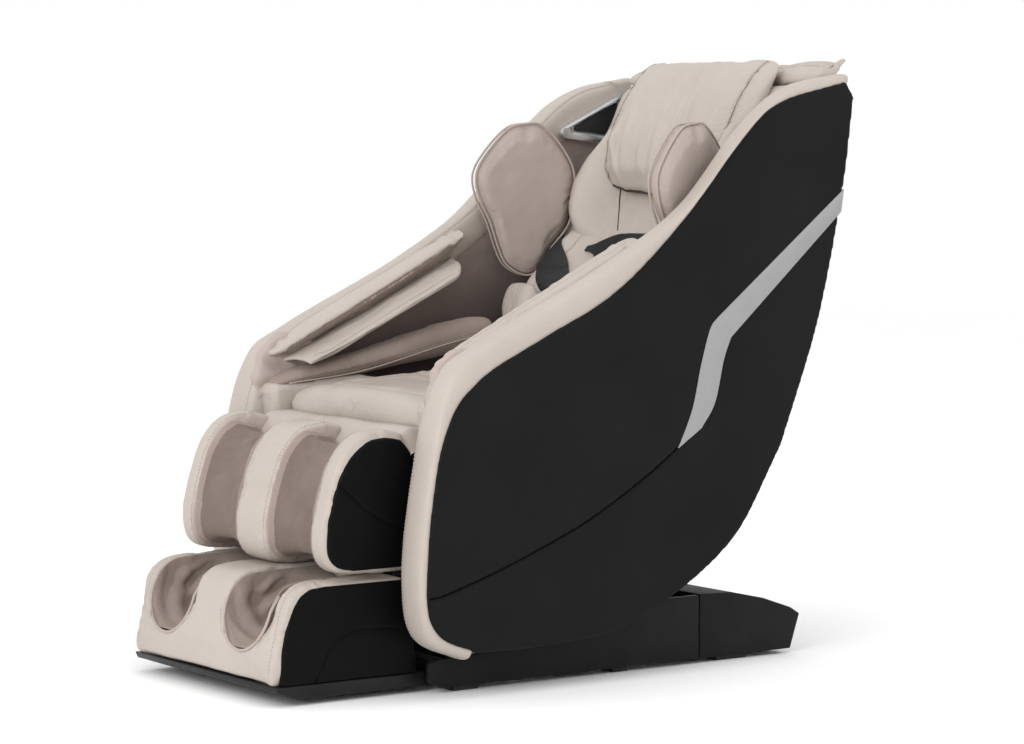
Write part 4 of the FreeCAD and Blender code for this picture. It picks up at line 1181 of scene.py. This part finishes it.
def calf_rest():
    """Three light pads, two fabric troughs between them and the black side covers."""
    outline = joined(catmull(CALF_FRONT, step=7), [(-480, 226), (-410, 224), (-345, 226), (-345, 330),
                                                   (-345, 440), (-372, 484), (-410, 492)])
    band = [(-404, 489), (-460, 478), (-505, 432), (-534, 345), (-539, 275), (-520, 240)]
    for name, x0, x1 in (("outer", 213, 257), ("middle", -57, 57)):
        obj = cushion("calf_" + name, outline, x0, x1, 9, size=4.5, rim=0.62, pressure=2.5, cap=4)
        ripple(obj, 1.0, 71, 95)
        if name == "outer":
            seam(obj, [(223, y - 2, z) for y, z in band], "calf_rest", 1.6, 1.6, stitches=(3.5,))
            finish_soft(obj)
            two_tone(obj, "mid", lambda c, no: (no[:, 0] < -0.55) & (c[:, 0] < 222))
            both(obj, "calf_pad_side", "light", "calf_rest", (["calf_pads"], []))
        else:
            for x, side in ((-44, 3.5), (44, -3.5)):
                seam(obj, [(x, y - 3, z) for y, z in band], "calf_rest", 1.6, 1.6, stitches=(side,))
            finish_soft(obj)
            two_tone(obj, "mid", lambda c, no: (np.abs(no[:, 0]) > 0.55) & (np.abs(c[:, 0]) > 46))
            piece(obj, "light", "calf_rest").name = "calf_pad_middle"
    curve = catmull(CALF_FRONT, step=8)
    t = directions(curve)
    inward = np.column_stack([-t[:, 1], t[:, 0]])
    inward *= np.sign(inward[len(inward) // 2, 0])
    rows = []
    for i, p in enumerate(curve):
        row = []
        for a in np.linspace(-1, 1, 29):
            depth = 10 + 22 * (1 - abs(a) ** 3) + 3.2 * max(0, 6 - i)
            row.append((135 + a * 80, *(p + inward[i] * depth)))
        rows.append(row)
    obj = loft("trough", rows)
    thicken(obj, 9)
    subdivide(obj)
    wrinkle(obj, [(80, -440, 462), (120, -470, 440), (175, -480, 430)], 7, 2.2)
    wrinkle(obj, [(95, -500, 300), (104, -502, 340), (98, -498, 390)], 7, 1.6)
    ripple(obj, 1.8, 72, 60)
    finish_soft(obj)
    two_tone(obj, "taupe_light", lambda c, no: np.abs(c[:, 0] - 135) > 66)
    both(obj, "calf_trough_lining", "taupe", "calf_rest", (["calf_liners"], []))
    side = [(-410, 476), (-456, 466), (-500, 420), (-529, 340), (-534, 276), (-516, 246), (-480, 236)]
    outline = joined(catmull(side, step=6), [(-480, 236), (-410, 236), (-350, 236), (-350, 340),
                                             (-350, 440), (-376, 470), (-410, 476)])
    fold = [(-510, 393), (-478, 367), (-446, 342), (-408, 319), (-370, 303)]
    side_cover("calf_side", outline, fold, "calf_rest", "calf_side_panels", 0.5)


def side_cover(stem, outline, fold, body, cad_node, uneven):
    """Black cover of a leg section's side, with one curved fold and a black cord in it that paints the fold's
    shade.
    """
    p = cushion(stem, outline, *LEG_SIDE_X, 12, size=4, rim=0.45)
    seam(p, at_x(fold, 264), body, 3, 2.0, stitches=())
    if uneven:
        ripple(p, uneven, 73, 90)
    # black cord in the fold's groove: painted shade of the fold
    piping_and_shadow_cord(stem + "_welt", at_x(fold, 263.0), "crease_shadow_black", body, 1.2)
    # the cover wears the darker copy of the black leather, painted shade
    both(finish_soft(p), stem + "_cover", "jet", body, ([cad_node], []))


# ---- foot box ----------------------------------------------------------------------------------------
FOOT_FRONT = [(-648, 38), (-653, 50), (-646, 100), (-624, 180), (-590, 214), (-540, 222)]
WELL_X, WELL_R, WELL_Z = 137, 74, 168


def foot_box():
    """Light cover with two round wells, their wrinkled linings and pipings, and the black side covers."""
    outline = joined(catmull(FOOT_FRONT, step=7),
                     [(-540, 222), (-450, 222), (-364, 222), (-349, 130), (-334, 38), (-500, 38), (-648, 38)])
    obj = slab("foot", outline, -255, 255)
    cut = obj.modifiers.new("wells", "BOOLEAN")
    cut.operation = "DIFFERENCE"
    cut.solver = "EXACT"
    hole = WELL_R + 5
    u = [(hole * math.cos(a), hole * math.sin(a)) for a in np.linspace(math.pi, 2 * math.pi, 24)]
    cutters = []
    for s in (-1, 1):
        loop = [(s * WELL_X + x, WELL_Z + z) for x, z in u]
        loop += [(s * WELL_X + hole, 300), (s * WELL_X - hole, 300)]
        rows = [[(x, y, z) for x, z in loop] for y in (-680, -412)]
        cutters.append(loft("well", rows, close_rows=True, caps=True))
    both_wells = cutters[0]
    with bpy.context.temp_override(active_object=both_wells, selected_editable_objects=cutters):
        bpy.ops.object.join()
    cut.object = both_wells
    bake(obj)
    bpy.data.objects.remove(both_wells)
    remesh(obj, 5)
    smooth(obj, 8, 0.6)
    swell(obj, 3.0, 6)
    ripple(obj, 1.4, 81, 100)
    co = coords(obj)
    for s in (-1, 1):
        dx, dz = co[:, 0] - s * WELL_X, np.minimum(co[:, 2] - WELL_Z, 0)
        r = np.maximum(np.hypot(dx, dz), 1e-6)
        inside = (r < hole) & (r > hole - 14) & (co[:, 1] < -414)
        co[:, 0] = np.where(inside, s * WELL_X + dx * hole / r, co[:, 0])
        co[:, 2] = np.where(inside & (dz < 0), WELL_Z + dz * hole / r, co[:, 2])
        co[:, 1] = np.where((r <= hole - 14) & (co[:, 1] < -406) & (co[:, 1] > -440), -408, co[:, 1])
    set_coords(obj, co)
    for s in (-1, 1):
        edge = [(s * WELL_X + 84 * math.cos(a), -640, WELL_Z + 84 * math.sin(a))
                for a in np.linspace(math.pi + 0.1, 2 * math.pi - 0.1, 11)]
        seam(obj, edge, "foot_box", 1.6, 1.4, stitches=(3.0,))
    for s in (-1, 1):
        corner = [(-650, 60), (-646, 100), (-624, 180), (-590, 214), (-540, 222), (-420, 222)]
        seam(obj, at_x(corner, s * 240), "foot_box", 1.8, 1.6, stitches=(3.5,))
    piece(finish_soft(obj), "light", "foot_box", ["foot_cushion"]).name = "foot_box_cover"
    brow = catmull(FOOT_FRONT, step=4)
    for s, side in ((1, "left"), (-1, "right")):
        rows = []
        for y in np.linspace(-646, -416, 56):
            top = float(np.interp(y, brow[2:, 0], brow[2:, 1])) - 1
            floor = 97 + 103 * float(smoothstep(y, -580, -414)) ** 1.2
            deep = top - floor
            reach = math.acos(1 - max(2.0, deep) / WELL_R) if deep < WELL_R else math.pi / 2
            wide = (WELL_R + 3) / (WELL_R * math.sin(reach))
            wall = max(0.0, deep - WELL_R)
            half = []
            for d in np.linspace(0, reach * WELL_R + wall, 31):
                if d <= reach * WELL_R:
                    half.append((WELL_R * math.sin(d / WELL_R), floor + WELL_R * (1 - math.cos(d / WELL_R))))
                else:
                    half.append((WELL_R, floor + d - reach * WELL_R + WELL_R))
            rows.append([(s * WELL_X - x * wide, y, z) for x, z in half[::-1]]
                        + [(s * WELL_X + x * wide, y, z) for x, z in half[1:]])
        obj = loft("liner", rows)
        subdivide(obj)
        co = coords(obj)
        ang = np.arctan2(co[:, 2] - 200, co[:, 0] - s * WELL_X)
        inner = smoothstep(co[:, 1], -634, -600) * smoothstep(205 - co[:, 2], -18, 30)
        swirl = np.sin(ang * 13 + co[:, 1] / 26 + 1.2 * np.sin(co[:, 1] / 17))
        cross = np.sin(co[:, 1] / 8.5 + 2.2 * np.sin(ang * 2 + s))
        fold = 7.0 * swirl * smoothstep(co[:, 1], -600, -520)
        fold += 4.2 * cross * (1 - smoothstep(co[:, 1], -560, -480))
        no = normals(obj)
        no *= np.sign(no[:, 2:3] + 0.05)
        set_coords(obj, co + no * ((fold + 2.5) * inner)[:, None])
        ripple(obj, 1.6, 82, 55)
        heel = [(s * WELL_X - 56, -530, 118), (s * WELL_X - 10, -556, 100), (s * WELL_X + 54, -546, 112)]
        line = catmull(heel, step=6)
        co = coords(obj)
        d = segment_distance(co, line)
        co[:, 2] += 16 * np.exp(-(d / 9) ** 2) * (co[:, 2] < 180)
        dx, dz = co[:, 0] - s * WELL_X, np.minimum(co[:, 2] - WELL_Z, 0)
        k = np.minimum(1, (WELL_R + 3) / np.maximum(np.hypot(dx, dz), 1))
        co[:, 0] = s * WELL_X + dx * k
        co[:, 2] = np.where(dz < 0, WELL_Z + dz * k, co[:, 2])
        set_coords(obj, co)
        thicken(obj, 2)
        piece(shade(obj), "taupe_light", "foot_box", ["foot_liners"])
        obj.name = "foot_well_lining_" + side
        rim = []
        for a in np.linspace(math.pi + 0.02, 2 * math.pi - 0.02, 30):
            rim.append((s * WELL_X + 79 * math.cos(a), 0, WELL_Z + 77 * math.sin(a)))
        rim = np.array([(s * WELL_X - 81, 0, 196)] + rim + [(s * WELL_X + 81, 0, 196)])
        rim[:, 1] = np.interp(rim[:, 2], [50, 100, 180, 205], [-653, -647, -625, -602])
        piece(tube("rim", rim, 3.0, 8), "mid", "foot_box").name = "foot_well_piping_" + side
    front = [(-636, 38), (-628, 110), (-608, 180), (-580, 207), (-540, 212)]
    outline = joined(catmull(front, step=6),
                     [(-540, 212), (-450, 212), (-368, 212), (-354, 125), (-340, 38), (-480, 38), (-636, 38)])
    fold = [(-564, 40), (-550, 62), (-536, 92), (-513, 113), (-480, 126), (-448, 128), (-382, 124)]
    side_cover("foot_side", outline, fold, "foot_box", "foot_side_panels", 0)


# ---- hard parts kept from the frame ------------------------------------------------------------------
HARD = {"base_frame": "steel", "base_feet": "rubber", "belly_cover": "black_plastic",
        "air_pump": "black_plastic", "back_frame": "steel", "seat_frame": "steel",
        "seat_crossmembers": "steel", "hinge_pins": "bright"}
ROUNDED = {"base_skirts": ("black_plastic", 2.5, "base"), "base_rear_cover": ("black_plastic", 5.0, "base"),
           "foot_tray": ("tray_plastic", 3.0, "foot_box"), "back_shell": ("black_plastic", 6.0, "backrest")}
BY_SLOT = {"steel": "steel", "bright_steel": "bright", "rubber": "rubber", "black_plastic": "black_plastic",
           "roller_plastic": "roller", "black_leather": "black", "light_leather": "light",
           "taupe_fabric": "taupe", "silver_trim": "silver", "speaker_mesh": "mesh"}


def welded(bm):
    bmesh.ops.remove_doubles(bm, verts=bm.verts, dist=1e-5)
    bmesh.ops.dissolve_limit(bm, angle_limit=math.radians(4), verts=bm.verts, edges=bm.edges)


def hard_parts():
    """Gives each CAD node that still shows a worked material, and rolls the edges of the moulded covers."""
    for name, (key, width, body) in ROUNDED.items():
        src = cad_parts[name]
        obj = bpy.data.objects.new(name + "_moulded", src.data.copy())
        COLL.objects.link(obj)
        reworked(obj, welded)
        bevel(obj, width, 35)
        shade(obj, 40)
        piece(obj, key, body, [name])
    for name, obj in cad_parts.items():
        if obj.hide_render:
            continue
        slot_name = obj.material_slots[0].material.name.split(".")[0] if obj.material_slots else "steel"
        key = HARD.get(name) or BY_SLOT.get(slot_name, "steel")
        obj.data.materials.clear()
        obj.data.materials.append(MAT[key])
        shade(obj, 35)


def stitches():
    """Every thread stitch of one body and colour as one piece, on both sides where its seam is mirrored."""
    groups = {}
    for _, body, tone, verts, faces in STITCH_SETS:
        v, f = groups.setdefault((body, tone), ([], []))
        base = len(v)
        v += list(verts)
        f += [tuple(i + base for i in face) for face in faces]
    for (body, tone), (v, f) in groups.items():
        obj = shade(mesh_object(f"stitches_{body}_{tone}", v, f))
        piece(obj, tone, body)


# ---- floor, light and camera -----------------------------------------------------------------------
def studio():
    edge = [(-FLOOR_REACH, -20), (FLOOR_REACH, -20), (FLOOR_REACH, 0), (-FLOOR_REACH, 0)]
    floor = slab("floor", edge, -FLOOR_REACH, FLOOR_REACH)
    m, nt, bsdf, vec = new_material("floor_paper")
    paper = ramp(nt, noise_node(nt, vec, 1.2, 2), 0.3, (0.985, 0.985, 0.985), 0.7, (1.0, 1.0, 1.0))
    fill(nt, bsdf, {"Base Color": paper, "Roughness": 0.9, "Specular IOR Level": 0.1})
    floor.data.materials.append(m)
    world = bpy.data.worlds.new("studio")
    SCENE.world = world
    world.use_nodes = True
    fill(world.node_tree, world.node_tree.nodes["Background"], {"Color": (1, 1, 1, 1), "Strength": 1.0})

    def area(name, spot, target, size, watts):
        data = bpy.data.lights.new(name, "AREA")
        data.shape = "RECTANGLE"
        data.size, data.size_y = size
        data.energy = watts
        obj = bpy.data.objects.new(name, data)
        COLL.objects.link(obj)
        obj.location = spot
        obj.rotation_euler = (Vector(target) - Vector(spot)).to_track_quat("-Z", "Y").to_euler()
    area("key", (2.0, -4.4, 2.2), (0, 0, 0.5), (2.4, 2.4), 100)
    area("top", (0.2, 0.4, 4.2), (0, 0.1, 0.5), (3.0, 3.0), 25)
    area("rim", (3.2, 3.2, 2.4), (0, 0.2, 0.6), (1.6, 2.4), 25)
    cam = bpy.data.cameras.new("camera")
    cam.lens = LENS
    cam.sensor_width = 36
    obj = bpy.data.objects.new("camera", cam)
    COLL.objects.link(obj)
    obj.location = CAMERA_SPOT
    obj.rotation_euler = (Vector(CAMERA_TARGET) - obj.location).to_track_quat("-Z", "Y").to_euler()
    SCENE.camera = obj
    SCENE.view_settings.view_transform = "Standard"


side_panels()
armour()
speakers()
arm_pads()
seat()
backrest()
pillow()
top_flap()
shoulders()
calf_rest()
foot_box()
hard_parts()
stitches()
studio()
